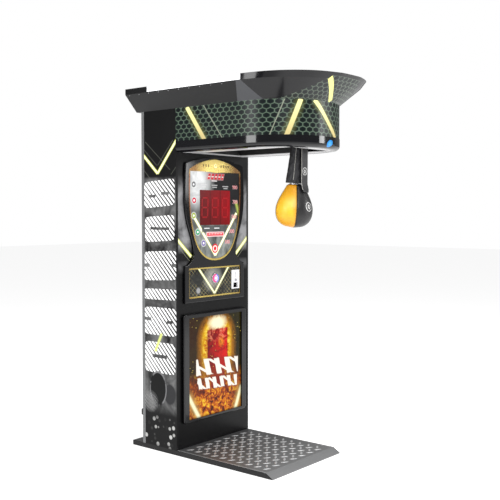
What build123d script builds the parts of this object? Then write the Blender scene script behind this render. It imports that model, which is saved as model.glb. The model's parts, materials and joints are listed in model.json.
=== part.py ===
from build123d import *
import os
from math import atan2, ceil, cos, hypot, radians, sin

# Boxing punch machine, in millimetres. X runs to a player's right, +Y into the machine, +Z up.
# The origin is on the floor under the middle of the whole machine. The player stands at -Y.

# ---------------------------------------------------------------- overall sizes
machine_width = 700.0       # across the cabinet and the head
cabinet_depth = 310.0       # front panel to back panel
base_tail = 403.0           # front panel to the base's rear end
footplate_length = 705.0    # front panel to the ramp's fold
ramp_run = 53.0             # fold to the ramp's toe
rim_reach = 1057.0          # front panel to the canopy's front rim
rim_overhang = 99.0         # canopy rim beyond each side of the cabinet
head_reach = 890.0          # front panel to the head's front
head_straight = 519.0       # length of the head's straight sides
rim_straight = 582.0        # length of the rim's straight sides ahead of the panel
canopy_tail = 350.0         # front panel to the canopy's rear face

head_bottom = 1898.0        # heights above the floor
lip_top = 1965.0
canopy_bottom = 2166.0
canopy_fold = 2268.0
canopy_top = 2303.0

front = (rim_reach - base_tail) / 2     # the front panel's plane in Y
half = machine_width / 2
rim_half = half + rim_overhang
nose_power = 2.24                       # superellipse of the head's and the rim's plan
nose_turns = [18, 34, 48, 62, 76]       # where its curve is held, in degrees

# ---------------------------------------------------------------- stock and clearances
board = 18.0                # cabinet boards
panel = 12.0                # front and back panels
sheet = 4.0                 # moulded and sheet-metal skins
tube = 30.0                 # square tube of the inner frame
tube_wall = 2.5
slip = 0.3                  # clearance round pieces that move
running = 0.04              # radial clearance of shafts and pins
screw_head = 2.5

os.makedirs("parts", exist_ok=True)


def block(x_low, x_high, y_low, y_high, z_low, z_high, mode=Mode.ADD):
    """A box in the open part between two corners; y counts from the front panel."""
    middle = ((x_low + x_high) / 2, front + (y_low + y_high) / 2, (z_low + z_high) / 2)
    with Locations(middle):
        Box(x_high - x_low, y_high - y_low, z_high - z_low, mode=mode)


def square_tube(x_low, x_high, y_low, y_high, z_low, z_high, along):
    """A tube in the open part between two corners, with its bore along one axis."""
    wall = {axis: 0 if axis == along else tube_wall for axis in "XYZ"}
    block(x_low, x_high, y_low, y_high, z_low, z_high)
    block(x_low + wall["X"], x_high - wall["X"], y_low + wall["Y"], y_high - wall["Y"],
          z_low + wall["Z"], z_high - wall["Z"], mode=Mode.SUBTRACT)


def nose_outline(half_width, straight, reach, tail):
    """Plan outline: straight sides, a superellipse nose towards the player and a flat tail."""
    nose = []
    for turn in nose_turns:
        across = half_width * cos(radians(turn)) ** (2 / nose_power)
        along = (reach - straight) * sin(radians(turn)) ** (2 / nose_power)
        nose.append((across, front - straight - along))
    corner = (half_width, front - straight)
    with BuildSketch(mode=Mode.PRIVATE) as outline:
        with BuildLine() as line:
            Spline(corner, *nose, (0, front - reach), tangents=[(0, -1), (-1, 0)])
            Polyline(corner, (half_width, front + tail), (0, front + tail))
            mirror(line.edges(), about=Plane.YZ)
        make_face()
    return outline.sketch


def save(piece, name):
    """Labels a finished piece and writes it under its node's name."""
    piece.part.label = name
    export_step(piece.part, f"parts/{name}.step")


def front_plane(proud=0.0):
    """A plane on the front panel, seen by the player: x across, y up, normal to the player."""
    return Plane.XZ.offset(proud - front)


# ================================================================ base
pad_height = 3.0
base_top = 33.0
plate = 3.0                 # tread plate and tail plate
cheek = 5.0                 # folded side cheeks
toe_gap = 0.5               # ramp's lower edge above the floor
cross_tube_pitch = 170.0    # widest spacing of the cross tubes

deck_bottom = base_top - plate
base_inner = half - cheek
toe = -(footplate_length + ramp_run)

with BuildPart() as base_cheeks:
    for x in (-half, base_inner):
        with BuildSketch(Plane.YZ.offset(x)):
            with BuildLine():
                Polyline(
                    (front + toe, pad_height),
                    (front - footplate_length, base_top),
                    (front + base_tail, base_top),
                    (front + base_tail, pad_height),
                    close=True,
                )
            make_face()
        extrude(amount=cheek)
save(base_cheeks, "base_cheeks")

tube_run = footplate_length + base_tail - tube
tube_gaps = ceil(tube_run / cross_tube_pitch)
tube_places = [-footplate_length + tube / 2 + i * tube_run / tube_gaps for i in range(tube_gaps + 1)]

with BuildPart() as base_cross_tubes:
    for y in tube_places:
        square_tube(-base_inner, base_inner, y - tube / 2, y + tube / 2, pad_height, deck_bottom, "X")
save(base_cross_tubes, "base_cross_tubes")

pad_length = 60.0
pad_inset = 60.0
with BuildPart() as base_pads:
    for x in (-base_inner + pad_inset, base_inner - pad_inset):
        for y in (tube_places[0], tube_places[len(tube_places) // 2], tube_places[-1]):
            block(x - pad_length / 2, x + pad_length / 2, y - tube / 2, y + tube / 2, 0, pad_height)
save(base_pads, "base_pads")

with BuildPart() as deck_plates:
    with BuildSketch(Plane.YZ):
        with BuildLine():
            Polyline(
                (front + toe, toe_gap),
                (front - footplate_length, deck_bottom),
                (front, deck_bottom),
                (front, base_top),
                (front - footplate_length, base_top),
                (front + toe, toe_gap + plate),
                close=True,
            )
        make_face()
    extrude(amount=base_inner, both=True)
    block(-base_inner, base_inner, cabinet_depth, base_tail, deck_bottom, base_top)
save(deck_plates, "deck_plates")

# ================================================================ cabinet shell
corner_trim = 27.0          # grey strips at the rear edges
corner_chamfer = 3.0
cabinet_base = base_top
inner_half = half - board
floor_top = deck_bottom + board
top_board_bottom = canopy_bottom - board

with BuildPart() as cabinet_boards:
    block(-inner_half, inner_half, panel, cabinet_depth - panel, deck_bottom, floor_top)
    block(-inner_half, inner_half, 0, cabinet_depth - panel, top_board_bottom, canopy_bottom)
save(cabinet_boards, "cabinet_boards")

with BuildPart() as side_panels:
    for side in (-1, 1):
        edges = sorted((side * inner_half, side * half))
        block(*edges, 0, cabinet_depth - corner_trim, cabinet_base, canopy_bottom)
save(side_panels, "side_panels")

with BuildPart() as rear_corner_trims:
    for side in (-1, 1):
        edges = sorted((side * inner_half, side * half))
        block(*edges, cabinet_depth - corner_trim, cabinet_depth, cabinet_base, canopy_bottom)
    rear_edges = rear_corner_trims.edges().filter_by(Axis.Z).group_by(Axis.Y)[-1].sort_by(Axis.X)
    chamfer([rear_edges[0], rear_edges[-1]], corner_chamfer)
save(rear_corner_trims, "rear_corner_trims")

# ---------------------------------------------------------------- sizes of what the panels hold
display_half = 147.0        # digit window
display_low = 1445.0
display_high = 1670.0
display_depth = 26.0
bezel_proud = 16.0
shield_proud = 12.0

coin_half = 250.0           # printed coin panel
coin_low = 981.0
coin_high = 1173.0
coin_proud = 8.0
coin_plate_left = 165.0     # white plate with the coin slot
coin_plate_right = 245.0
coin_plate_low = 1016.0
coin_plate_high = 1142.0
coin_plate_proud = 11.0
coin_slot_width = 5.0
coin_slot_height = 34.0
coin_slot_z = 1110.0
cup_half = 22.0             # coin return cup
cup_low = 1024.0
cup_high = 1056.0
cup_depth = 38.0
mech_margin = 5.0           # coin plate beyond the validator's opening
button_play = 1.0           # panel holes round the start button
reject_radius = 8.0
reject_z = 1074.0
start_radius = 28.0
start_z = 1098.0
start_travel = 5.0
button_ring = 6.0           # width of the ring round the start button
button_proud = 20.0

poster_half = 257.0         # lit print
poster_low = 210.0
poster_high = 857.0
poster_frame_side = 45.0
poster_frame_below = 20.0
poster_frame_above = 28.0
poster_frame_proud = 22.0
poster_corner = 20.0
poster_round = 8.0
poster_front = -11.0        # the lit print stands in front of the front panel's face
poster_back = -7.0
backlight_front = -4.0
backlight_back = 11.0

coin_plate_x = (coin_plate_left + coin_plate_right) / 2
mech_half = (coin_plate_right - coin_plate_left) / 2 - mech_margin
mech_low = coin_plate_low + mech_margin
mech_high = coin_plate_high - mech_margin
coin_slot_x = coin_plate_x
reject_x = coin_plate_x

with BuildPart() as front_panel:
    block(-inner_half, inner_half, 0, panel, cabinet_base, head_bottom)
    block(-display_half, display_half, 0, panel, display_low, display_high, mode=Mode.SUBTRACT)
    block(-poster_half, poster_half, 0, panel, poster_low, poster_high, mode=Mode.SUBTRACT)
    block(coin_plate_x - mech_half, coin_plate_x + mech_half, 0, panel, mech_low, mech_high,
          mode=Mode.SUBTRACT)
    with Locations(Plane.XZ.offset(-front)):
        with Locations((0, start_z)):
            Hole(start_radius + button_play)
save(front_panel, "front_panel")

# ---------------------------------------------------------------- back panel and service door
door_left = -230.0
door_right = 250.0
door_low = 62.0
door_high = 560.0
door_gap = 2.0
inlet_x = -half + 34.0
inlet_z = 226.0
inlet_width = 32.0
inlet_height = 40.0
inlet_depth = 30.0
back_face = cabinet_depth
back_inner = cabinet_depth - panel

with BuildPart() as back_panel:
    block(-inner_half, inner_half, back_inner, back_face, cabinet_base, canopy_bottom)
    block(door_left, door_right, back_inner, back_face, door_low, door_high, mode=Mode.SUBTRACT)
save(back_panel, "back_panel")

lock_margin = 34.0          # door's free edge to the lock
lock_x = door_left + lock_margin
lock_z = (door_low + door_high) / 2
lock_radius = 9.5
lock_flange = 13.0
core_radius = 6.0
cam_length = 46.0
cam_width = 14.0
cam_plate = 2.5
cam_gap = 4.0               # between the cam and the back panel's inner face
lock_nose = 3.0             # lock's flange behind the door
core_nose = 1.0             # core behind the flange
key_half = 0.8              # key slot
key_reach = 4.0

with BuildPart() as rear_door:
    block(door_left + door_gap, door_right - door_gap, back_inner, back_face,
          door_low + door_gap, door_high - door_gap)
    with Locations(Plane.XZ.offset(-front - back_inner)):
        with Locations((lock_x, lock_z)):
            Hole(lock_radius)
save(rear_door, "rear_door")


def lock_cylinder(radius, y_low, y_high, mode=Mode.ADD):
    with Locations(Plane.XZ.offset(-front - (y_low + y_high) / 2)):
        with Locations((lock_x, lock_z)):
            Cylinder(radius, y_high - y_low, mode=mode)


with BuildPart() as lock_body:
    lock_cylinder(lock_radius, back_inner - 2, back_face)
    lock_cylinder(lock_flange, back_face, back_face + lock_nose)
    lock_cylinder(core_radius + running, back_inner - 2, back_face + lock_nose, mode=Mode.SUBTRACT)
save(lock_body, "lock_body")

cam_low = back_inner - cam_gap - cam_plate
with BuildPart() as lock_cam:
    lock_cylinder(core_radius, cam_low, back_face + lock_nose + core_nose)
    block(lock_x - cam_width / 2, lock_x + cam_width / 2, cam_low, cam_low + cam_plate,
          lock_z - cam_length, lock_z + cam_width / 2)
    block(lock_x - key_half, lock_x + key_half, back_face, back_face + lock_nose + core_nose,
          lock_z - key_reach, lock_z + key_reach, mode=Mode.SUBTRACT)
save(lock_cam, "lock_cam")

hinge_pin_radius = 2.0
hinge_barrel_radius = 4.5
hinge_height = 70.0
hinge_leaf = 2.0
leaf_width = 24.0
hinge_x = door_right - door_gap / 2
hinge_y = back_face + hinge_barrel_radius
hinge_inset = 80.0          # hinges' middles from the door's ends
hinge_places = [door_low + hinge_inset, door_high - hinge_inset]
knuckle = hinge_height / 3


def hinge_barrel(radius, z_low, z_high, mode=Mode.ADD):
    with Locations((hinge_x, front + hinge_y, (z_low + z_high) / 2)):
        Cylinder(radius, z_high - z_low, mode=mode)


def hinge_leaves(side, knuckles, pins):
    """Leaves on one side of both hinges, with their knuckles and, on the fixed side, the pins."""
    with BuildPart() as piece:
        for middle in hinge_places:
            low = middle - hinge_height / 2
            for index in knuckles:
                z_low = low + index * knuckle + slip
                z_high = low + (index + 1) * knuckle - slip
                hinge_barrel(hinge_barrel_radius, z_low, z_high)
                edges = sorted((hinge_x, hinge_x + side * (hinge_barrel_radius + slip + 1)))
                block(*edges, back_face, back_face + hinge_leaf, z_low, z_high)
            edges = sorted((hinge_x + side * (hinge_barrel_radius + slip), hinge_x + side * leaf_width))
            block(*edges, back_face, back_face + hinge_leaf, low + slip, low + hinge_height - slip)
            hinge_barrel(hinge_pin_radius + running, low, low + hinge_height, mode=Mode.SUBTRACT)
            if pins:
                hinge_barrel(hinge_pin_radius, low, low + hinge_height)
    return piece


save(hinge_leaves(1, (0, 2), True), "door_hinge_fixed")
save(hinge_leaves(-1, (1,), False), "door_hinge_moving")

socket_width = 20.0
socket_height = 26.0
socket_depth = 18.0
inlet_chamfer = 3.0
with BuildPart() as mains_inlet:
    block(inlet_x - inlet_width / 2, inlet_x + inlet_width / 2, back_face, back_face + inlet_depth,
          inlet_z - inlet_height / 2, inlet_z + inlet_height / 2)
    chamfer(mains_inlet.edges().filter_by(Axis.Y), inlet_chamfer)
    block(inlet_x - socket_width / 2, inlet_x + socket_width / 2,
          back_face + inlet_depth - socket_depth, back_face + inlet_depth,
          inlet_z - socket_height / 2, inlet_z + socket_height / 2, mode=Mode.SUBTRACT)
save(mains_inlet, "mains_inlet")

screw_inset = 7.0
screw_rows = 6
screw_radius = 4.5
screw_low = cabinet_base + 40.0
screw_high = canopy_bottom - 60.0
with BuildPart() as panel_screws:
    for side in (-1, 1):
        for row in range(screw_rows):
            z = screw_low + row * (screw_high - screw_low) / (screw_rows - 1)
            with Locations(Plane.XZ.offset(-front - back_face - screw_head / 2)):
                with Locations((side * (inner_half - screw_inset), z)):
                    Cylinder(screw_radius, screw_head)
save(panel_screws, "panel_screws")

# ================================================================ inner frame
post_outer = inner_half
post_inner = inner_half - tube
post_gap = 2.0              # posts to the front and back panels
front_post = panel + post_gap
rear_post = back_inner - post_gap - tube

with BuildPart() as frame_posts:
    for side in (-1, 1):
        edges = sorted((side * post_inner, side * post_outer))
        for y in (front_post, rear_post):
            square_tube(*edges, y, y + tube, floor_top, top_board_bottom, "Z")
save(frame_posts, "frame_posts")

rail_height = 70.0          # head rails, standing tube
rail_width = 40.0
rail_inner = 210.0          # half the space between the head rails
rail_reach = 780.0          # front panel to the rails' front ends
pivot_z = 2035.0
rail_low = pivot_z - rail_height / 2
carrier_low = rail_low - tube

front_rail_levels = (915.0, carrier_low)
rear_rail_levels = (620.0, 1240.0, carrier_low)
with BuildPart() as frame_rails:
    for z in front_rail_levels:
        square_tube(-post_inner, post_inner, front_post, front_post + tube, z, z + tube, "X")
    for z in rear_rail_levels:
        square_tube(-post_inner, post_inner, rear_post, rear_post + tube, z, z + tube, "X")
        for side in (-1, 1):
            edges = sorted((side * post_inner, side * post_outer))
            square_tube(*edges, front_post + tube, rear_post, z, z + tube, "Y")
    square_tube(-rail_inner, rail_inner, -rail_reach, -rail_reach + tube, rail_low, rail_low + tube, "X")
save(frame_rails, "frame_rails")

# ================================================================ inside the cabinet
cash_left = -150.0
cash_right = 60.0
cash_front = 70.0
cash_back = cabinet_depth - 60.0
cash_height = 190.0
cash_wall = 2.0
cash_top = floor_top + cash_height
cash_slot_x = (cash_left + cash_right) / 2
cash_slot_half = 50.0       # slot in its lid
cash_slot_front = cash_front + 30.0
cash_slot_back = cash_front + 70.0

with BuildPart() as cash_box:
    block(cash_left, cash_right, cash_front, cash_back, floor_top, cash_top)
    block(cash_left + cash_wall, cash_right - cash_wall, cash_front + cash_wall, cash_back - cash_wall,
          floor_top + cash_wall, cash_top - cash_wall, mode=Mode.SUBTRACT)
    block(cash_slot_x - cash_slot_half, cash_slot_x + cash_slot_half, cash_slot_front, cash_slot_back,
          cash_top - cash_wall, cash_top, mode=Mode.SUBTRACT)
save(cash_box, "cash_box")

supply_left = 110.0
supply_right = 220.0
supply_front = 90.0
supply_back = cabinet_depth - 60.0
supply_height = 60.0
supply_wall = 2.0
with BuildPart() as power_supply:
    block(supply_left, supply_right, supply_front, supply_back, floor_top, floor_top + supply_height)
    chamfer(power_supply.edges().filter_by(Axis.Z), supply_wall)
    block(supply_left + supply_wall, supply_right - supply_wall,
          supply_front + supply_wall, supply_back - supply_wall,
          floor_top + supply_wall, floor_top + supply_height - supply_wall, mode=Mode.SUBTRACT)
save(power_supply, "power_supply")

speaker_z = 980.0
speaker_half = 60.0
speaker_front = 60.0
speaker_back = 130.0
cone_radius = 48.0
cone_proud = 10.0
with BuildPart() as speaker:
    block(-speaker_half, speaker_half, speaker_front, speaker_back,
          speaker_z - speaker_half + 5, speaker_z + speaker_half - 5)
    with Locations(Plane.XZ.offset(-front - speaker_front + cone_proud / 2)):
        with Locations((0, speaker_z)):
            Cylinder(cone_radius, cone_proud)
save(speaker, "speaker")

card_half = 120.0
card_low = 1330.0
card_high = 1560.0
card_front = cabinet_depth - 110.0
card_thick = 2.0
chip_columns = (-80.0, -20.0, 50.0)
chip_rows = ((1360.0, 34.0, 40.0, 14.0), (1450.0, 26.0, 40.0, 8.0))   # level, width, height, depth
with BuildPart() as control_board:
    block(-card_half, card_half, card_front, card_front + card_thick, card_low, card_high)
    for x in chip_columns:
        for z, width, height, depth in chip_rows:
            block(x, x + width, card_front - depth, card_front, z, z + height)
save(control_board, "control_board")

# ================================================================ display, coin unit and poster
bezel_top = 1880.0
bezel_corner_z = 1836.0
bezel_corner = 277.0
bezel_half = 286.0          # at the coin unit
bezel_neck = 204.0
bezel_neck_z = 1268.0
bezel_coin_top = 1190.0
bezel_bottom = 953.0
bezel_round = 5.0
bezel_crown = (150.0, 1867.0)           # a point of the top's arc
bezel_flank = [(286.0, 1700.0), (267.0, 1470.0)]
bezel_flare = (226.0, 1222.0)           # below the neck, out to the coin unit

with BuildPart() as display_bezel:
    with BuildSketch(front_plane()):
        with BuildLine() as bezel_line:
            ThreePointArc((0, bezel_top), bezel_crown, (bezel_corner, bezel_corner_z))
            Spline(
                (bezel_corner, bezel_corner_z),
                *bezel_flank,
                (bezel_neck, bezel_neck_z),
                tangents=[(0.1, -1), (-0.1, -1)],
            )
            Spline(
                (bezel_neck, bezel_neck_z),
                bezel_flare,
                (bezel_half, bezel_coin_top),
                tangents=[(-0.1, -1), (1, -0.1)],
            )
            Polyline((bezel_half, bezel_coin_top), (bezel_half, bezel_bottom), (0, bezel_bottom))
            mirror(bezel_line.edges(), about=Plane.YZ)
        make_face()
    extrude(amount=bezel_proud)
    fillet(display_bezel.faces().sort_by(Axis.Y)[0].outer_wire().edges(), bezel_round)


shield_corner = 247.0
shield_corner_z = 1798.0
shield_crown = (127.0, 1847.0)          # a point of the top's arc
shield_crown_z = 1868.0
shield_flank = [(250.0, 1630.0), (216.0, 1404.0)]
shield_tip_z = 1215.0
trim_line = 10.0            # gold border's width
trim_thick = 3.0
tip_slope = 1.2             # the border is wider along Z at the tip
crescent_low = 1787.0       # lower edge of the gold crescent
crescent_notch = (60.0, 5.0)            # its shallow dip at the middle
coin_trim_side = 7.0        # gold border round the coin panel
coin_trim_end = 9.0
plate_gap = 1.0
panel_thick = 5.0


def shield_outline(inset, crescent):
    """Shield: arched or cut-off top, sides that close in an ogive down to a rounded tip."""
    corner_x = shield_corner - inset
    corner_z = crescent_low if crescent else shield_corner_z
    tip_z = shield_tip_z + tip_slope * inset
    with BuildSketch(mode=Mode.PRIVATE) as outline:
        with BuildLine() as line:
            if crescent:
                notch_x, notch_drop = crescent_notch
                Polyline((0, corner_z - notch_drop), (notch_x, corner_z), (corner_x, corner_z))
            else:
                ThreePointArc((0, shield_crown_z), shield_crown, (corner_x, corner_z))
            Spline(
                (corner_x, corner_z),
                *[(x - inset, z) for x, z in shield_flank],
                (0, tip_z),
                tangents=[(0.05, -1), (-1, 0)],
            )
            mirror(line.edges(), about=Plane.YZ)
        make_face()
    return outline.sketch


shield_back = shield_proud - panel_thick

with BuildPart() as shield_panel:
    with BuildSketch(front_plane(shield_back)):
        add(shield_outline(0, False))
        with Locations((0, (display_low + display_high) / 2)):
            Rectangle(2 * display_half, display_high - display_low, mode=Mode.SUBTRACT)
    extrude(amount=panel_thick)
save(shield_panel, "shield_panel")

with BuildPart() as gold_trims:
    with BuildSketch(front_plane(shield_proud)):
        add(shield_outline(0, False))
        add(shield_outline(trim_line, True), mode=Mode.SUBTRACT)
    extrude(amount=trim_thick)
    block(-coin_half, coin_half, -coin_proud - trim_thick, -coin_proud, coin_low, coin_high)
    block(-coin_half + coin_trim_side, coin_half - coin_trim_side, -coin_proud - trim_thick, -coin_proud,
          coin_low + coin_trim_end, coin_high - coin_trim_end, mode=Mode.SUBTRACT)
    block(coin_plate_left - plate_gap, coin_plate_right + plate_gap, -coin_proud - trim_thick, -coin_proud,
          coin_plate_low, coin_plate_high, mode=Mode.SUBTRACT)
save(gold_trims, "gold_trims")

with BuildPart() as shield_pocket:
    with BuildSketch(front_plane(shield_back)):
        add(shield_outline(0, False))
    extrude(amount=bezel_proud)

coin_back = coin_proud - panel_thick

with display_bezel:
    add(shield_pocket.part, mode=Mode.SUBTRACT)
    block(-display_half, display_half, -bezel_proud, 0, display_low, display_high, mode=Mode.SUBTRACT)
    block(-coin_half, coin_half, -bezel_proud, -coin_back, coin_low, coin_high, mode=Mode.SUBTRACT)
    block(coin_plate_left, coin_plate_right, -bezel_proud, 0, coin_plate_low, coin_plate_high,
          mode=Mode.SUBTRACT)
    with Locations(Plane.XZ.offset(-front)):
        with Locations((0, start_z)):
            Hole(start_radius + button_play)
save(display_bezel, "display_bezel")

with BuildPart() as digit_display:
    block(-display_half, display_half, -shield_proud, display_depth, display_low, display_high)
save(digit_display, "digit_display")

with BuildPart() as coin_panel:
    block(-coin_half, coin_half, -coin_proud, -coin_back, coin_low, coin_high)
    block(coin_plate_left, coin_plate_right, -coin_proud, -coin_back, coin_plate_low, coin_plate_high,
          mode=Mode.SUBTRACT)
    with Locations(Plane.XZ.offset(-front)):
        with Locations((0, start_z)):
            Hole(start_radius + button_ring)
save(coin_panel, "coin_panel")

plate_chamfer = 1.5
with BuildPart() as coin_plate:
    block(coin_plate_left, coin_plate_right, -coin_plate_proud, 0, coin_plate_low, coin_plate_high)
    chamfer(coin_plate.faces().sort_by(Axis.Y)[0].edges(), plate_chamfer)
    block(coin_slot_x - coin_slot_width / 2, coin_slot_x + coin_slot_width / 2, -coin_plate_proud, 0,
          coin_slot_z - coin_slot_height / 2, coin_slot_z + coin_slot_height / 2, mode=Mode.SUBTRACT)
    block(coin_plate_x - cup_half, coin_plate_x + cup_half, -coin_plate_proud, 0, cup_low, cup_high,
          mode=Mode.SUBTRACT)
    with Locations(Plane.XZ.offset(-front)):
        with Locations((reject_x, reject_z)):
            Hole(reject_radius + slip)
save(coin_plate, "coin_plate")

cup_wall = 2.0
mech_front = 10.0
mech_depth = 80.0
chute_depth = 55.0
cup_step = 1.0              # cup's floor below the opening in the plate
mech_over_cup = 4.0
with BuildPart() as coin_mech:
    block(coin_plate_x - cup_half - cup_wall, coin_plate_x + cup_half + cup_wall, 0, cup_depth,
          cup_low - cup_step, cup_high + cup_wall)
    block(coin_plate_x - cup_half, coin_plate_x + cup_half, 0, cup_depth - cup_wall, cup_low, cup_high,
          mode=Mode.SUBTRACT)
    block(coin_plate_x - mech_half, coin_plate_x + mech_half, mech_front, mech_depth,
          cup_high + cup_wall + mech_over_cup, mech_high)
    block(coin_slot_x - coin_slot_width / 2, coin_slot_x + coin_slot_width / 2, mech_front, chute_depth,
          coin_slot_z - coin_slot_height / 2, coin_slot_z + coin_slot_height / 2, mode=Mode.SUBTRACT)
save(coin_mech, "coin_mech")

reject_proud = 6.0          # reject button in front of the coin plate
with BuildPart() as reject_button:
    with Locations(Plane.XZ.offset(-front + (coin_plate_proud + reject_proud) / 2)):
        with Locations((reject_x, reject_z)):
            Cylinder(reject_radius, coin_plate_proud + reject_proud)
    fillet(reject_button.edges().sort_by(Axis.Y)[0], plate_chamfer)
save(reject_button, "reject_button")

stem_radius = 9.0           # start button's stem, which presses the switch
stem_length = 10.0
switch_gap = 1.0
switch_half = 12.0
switch_back = 46.0
ring_round = 3.0
lens_round = 4.0
ring_proud = button_proud - 5.0
with BuildPart() as button_bezel:
    with Locations(Plane.XZ.offset(-front + (ring_proud + coin_back) / 2)):
        with Locations((0, start_z)):
            Cylinder(start_radius + button_ring, ring_proud - coin_back)
            Cylinder(start_radius + slip, button_proud, mode=Mode.SUBTRACT)
    fillet(button_bezel.faces().sort_by(Axis.Y)[0].outer_wire().edges(), ring_round)
    block(-switch_half, switch_half, stem_length + start_travel + switch_gap, switch_back,
          start_z - switch_half, start_z + switch_half)
save(button_bezel, "button_bezel")

with BuildPart() as start_button:
    with Locations(Plane.XZ.offset(-front + button_proud / 2)):
        with Locations((0, start_z)):
            Cylinder(start_radius, button_proud)
    fillet(start_button.edges().sort_by(Axis.Y)[0], lens_round)
    with Locations(Plane.XZ.offset(-front - stem_length / 2)):
        with Locations((0, start_z)):
            Cylinder(stem_radius, stem_length)
save(start_button, "start_button")

frame_half = poster_half + poster_frame_side
frame_low = poster_low - poster_frame_below
frame_high = poster_high + poster_frame_above
with BuildPart() as poster_frame:
    block(-frame_half, frame_half, -poster_frame_proud, 0, frame_low, frame_high)
    fillet(poster_frame.edges().filter_by(Axis.Y), poster_corner)
    fillet(poster_frame.faces().sort_by(Axis.Y)[0].outer_wire().edges(), poster_round)
    block(-poster_half, poster_half, -poster_frame_proud, 0, poster_low, poster_high, mode=Mode.SUBTRACT)
save(poster_frame, "poster_frame")

with BuildPart() as poster_panel:
    block(-poster_half, poster_half, poster_front, poster_back, poster_low, poster_high)
save(poster_panel, "poster_panel")

with BuildPart() as poster_backlight:
    block(-poster_half, poster_half, backlight_front, backlight_back, poster_low, poster_high)
save(poster_backlight, "poster_backlight")

# ================================================================ head shell
lip_proud = 2.0
lip_width = 47.0
lip_round = 26.0
opening_half = 195.0
opening_rear = 55.0
opening_reach = 772.0
opening_round = 15.0
ring_sheet = 4.0
ring_step = 1.0             # underside ring above the lip's lowest line
deck_sheet = 3.0

with BuildPart() as head_skirt:
    with BuildSketch(Plane.XY.offset(lip_top)):
        add(nose_outline(half, head_straight, head_reach, 0))
        add(nose_outline(half - sheet, head_straight, head_reach - sheet, 1), mode=Mode.SUBTRACT)
    extrude(amount=canopy_bottom - lip_top)
save(head_skirt, "head_skirt")


def lip_section(level, inset):
    """The lip's plan at one level, inset where its lower edge rounds under."""
    with BuildSketch(Plane.XY.offset(level), mode=Mode.PRIVATE) as section:
        add(nose_outline(half + lip_proud - inset, head_straight, head_reach + lip_proud - inset, 0))
    return section.sketch


lip_turns = (0, 25, 50, 70, 90)
lip_levels = []
for turn in lip_turns:
    drop = lip_round * (1 - sin(radians(turn)))
    lip_levels.append((head_bottom + lip_round * (1 - cos(radians(turn))), drop))
lip_levels.append((lip_top, 0))

with BuildPart() as head_lip:
    loft([lip_section(*level) for level in lip_levels], ruled=True)
    with BuildSketch(Plane.XY.offset(head_bottom)):
        add(nose_outline(half - lip_width, head_straight, head_reach - lip_width, 1))
    extrude(amount=lip_top - head_bottom, mode=Mode.SUBTRACT)
save(head_lip, "head_lip")

with BuildPart() as underside_ring:
    with BuildSketch(Plane.XY.offset(head_bottom + ring_step)):
        add(nose_outline(half - lip_width, head_straight, head_reach - lip_width, 0))
        with Locations((0, front - (opening_rear + opening_reach) / 2)):
            RectangleRounded(2 * opening_half, opening_reach - opening_rear, opening_round,
                             mode=Mode.SUBTRACT)
    extrude(amount=ring_sheet)
save(underside_ring, "underside_ring")

ring_top = head_bottom + ring_step + ring_sheet
with BuildPart() as head_deck:
    with BuildSketch(Plane.XY.offset(canopy_bottom - deck_sheet)):
        add(nose_outline(half - sheet, head_straight, head_reach - sheet, 0))
    extrude(amount=deck_sheet)
save(head_deck, "head_deck")

liner_reach = 560.0
liner_wall = 3.0
liner_margin = 4.0          # liner's outside beyond the opening
liner_half = opening_half + liner_margin
liner_rear = -opening_rear + liner_margin
liner_top = canopy_bottom - 12.0
with BuildPart() as recess_liner:
    block(-liner_half, liner_half, -liner_reach, liner_rear, ring_top, liner_top)
    block(-liner_half + liner_wall, liner_half - liner_wall, -liner_reach, liner_rear - liner_wall,
          ring_top, liner_top - liner_wall, mode=Mode.SUBTRACT)
save(recess_liner, "recess_liner")

# ================================================================ arm carrier
with BuildPart() as head_rails:
    for side in (-1, 1):
        edges = sorted((side * rail_inner, side * (rail_inner + rail_width)))
        square_tube(*edges, -rail_reach, rear_post + tube, rail_low, rail_low + rail_height, "Y")
save(head_rails, "head_rails")

# ---------------------------------------------------------------- pivot and arm
pivot_reach = 686.0         # front panel to the shaft
ball_reach = 650.0          # front panel to the ball's middle at rest
ball_z = 1560.0
shaft_radius = 12.0
bearing_length = 14.0
bearing_half = 30.0
hub_radius = 30.0
hub_half = 40.0
socket_radius = 24.0
socket_end = 62.0
arm_radius = 17.0
arm_wall = 3.0
arm_start = 34.0

pivot_y = front - pivot_reach
arm_length = hypot(pivot_reach - ball_reach, pivot_z - ball_z)
lean = atan2(pivot_reach - ball_reach, pivot_z - ball_z)
down = (0, sin(lean), -cos(lean))
arm_section = Plane(origin=(0, pivot_y, pivot_z), x_dir=(1, 0, 0), z_dir=down)
arm_side = Plane(origin=(0, pivot_y, pivot_z), x_dir=down, z_dir=(1, 0, 0))
arm_axis = Axis((0, pivot_y, pivot_z), down)


def on_shaft(radius, x_low, x_high, mode=Mode.ADD):
    """A disc or bore on the shaft's axis."""
    with Locations(Plane.YZ.offset((x_low + x_high) / 2)):
        with Locations((pivot_y, pivot_z)):
            Cylinder(radius, x_high - x_low, mode=mode)


with BuildPart() as pivot_bearings:
    for side in (-1, 1):
        edges = sorted((side * rail_inner, side * (rail_inner - bearing_length)))
        block(*edges, -pivot_reach - bearing_half, -pivot_reach + bearing_half,
              pivot_z - bearing_half, pivot_z + bearing_half)
    on_shaft(shaft_radius + running, -rail_inner, rail_inner, mode=Mode.SUBTRACT)
save(pivot_bearings, "pivot_bearings")

shaft_end = 1.0             # shaft's ends inside the bearings' outer faces
with BuildPart() as pivot_shaft:
    on_shaft(shaft_radius, -rail_inner + shaft_end, rail_inner - shaft_end)
save(pivot_shaft, "pivot_shaft")

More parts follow.
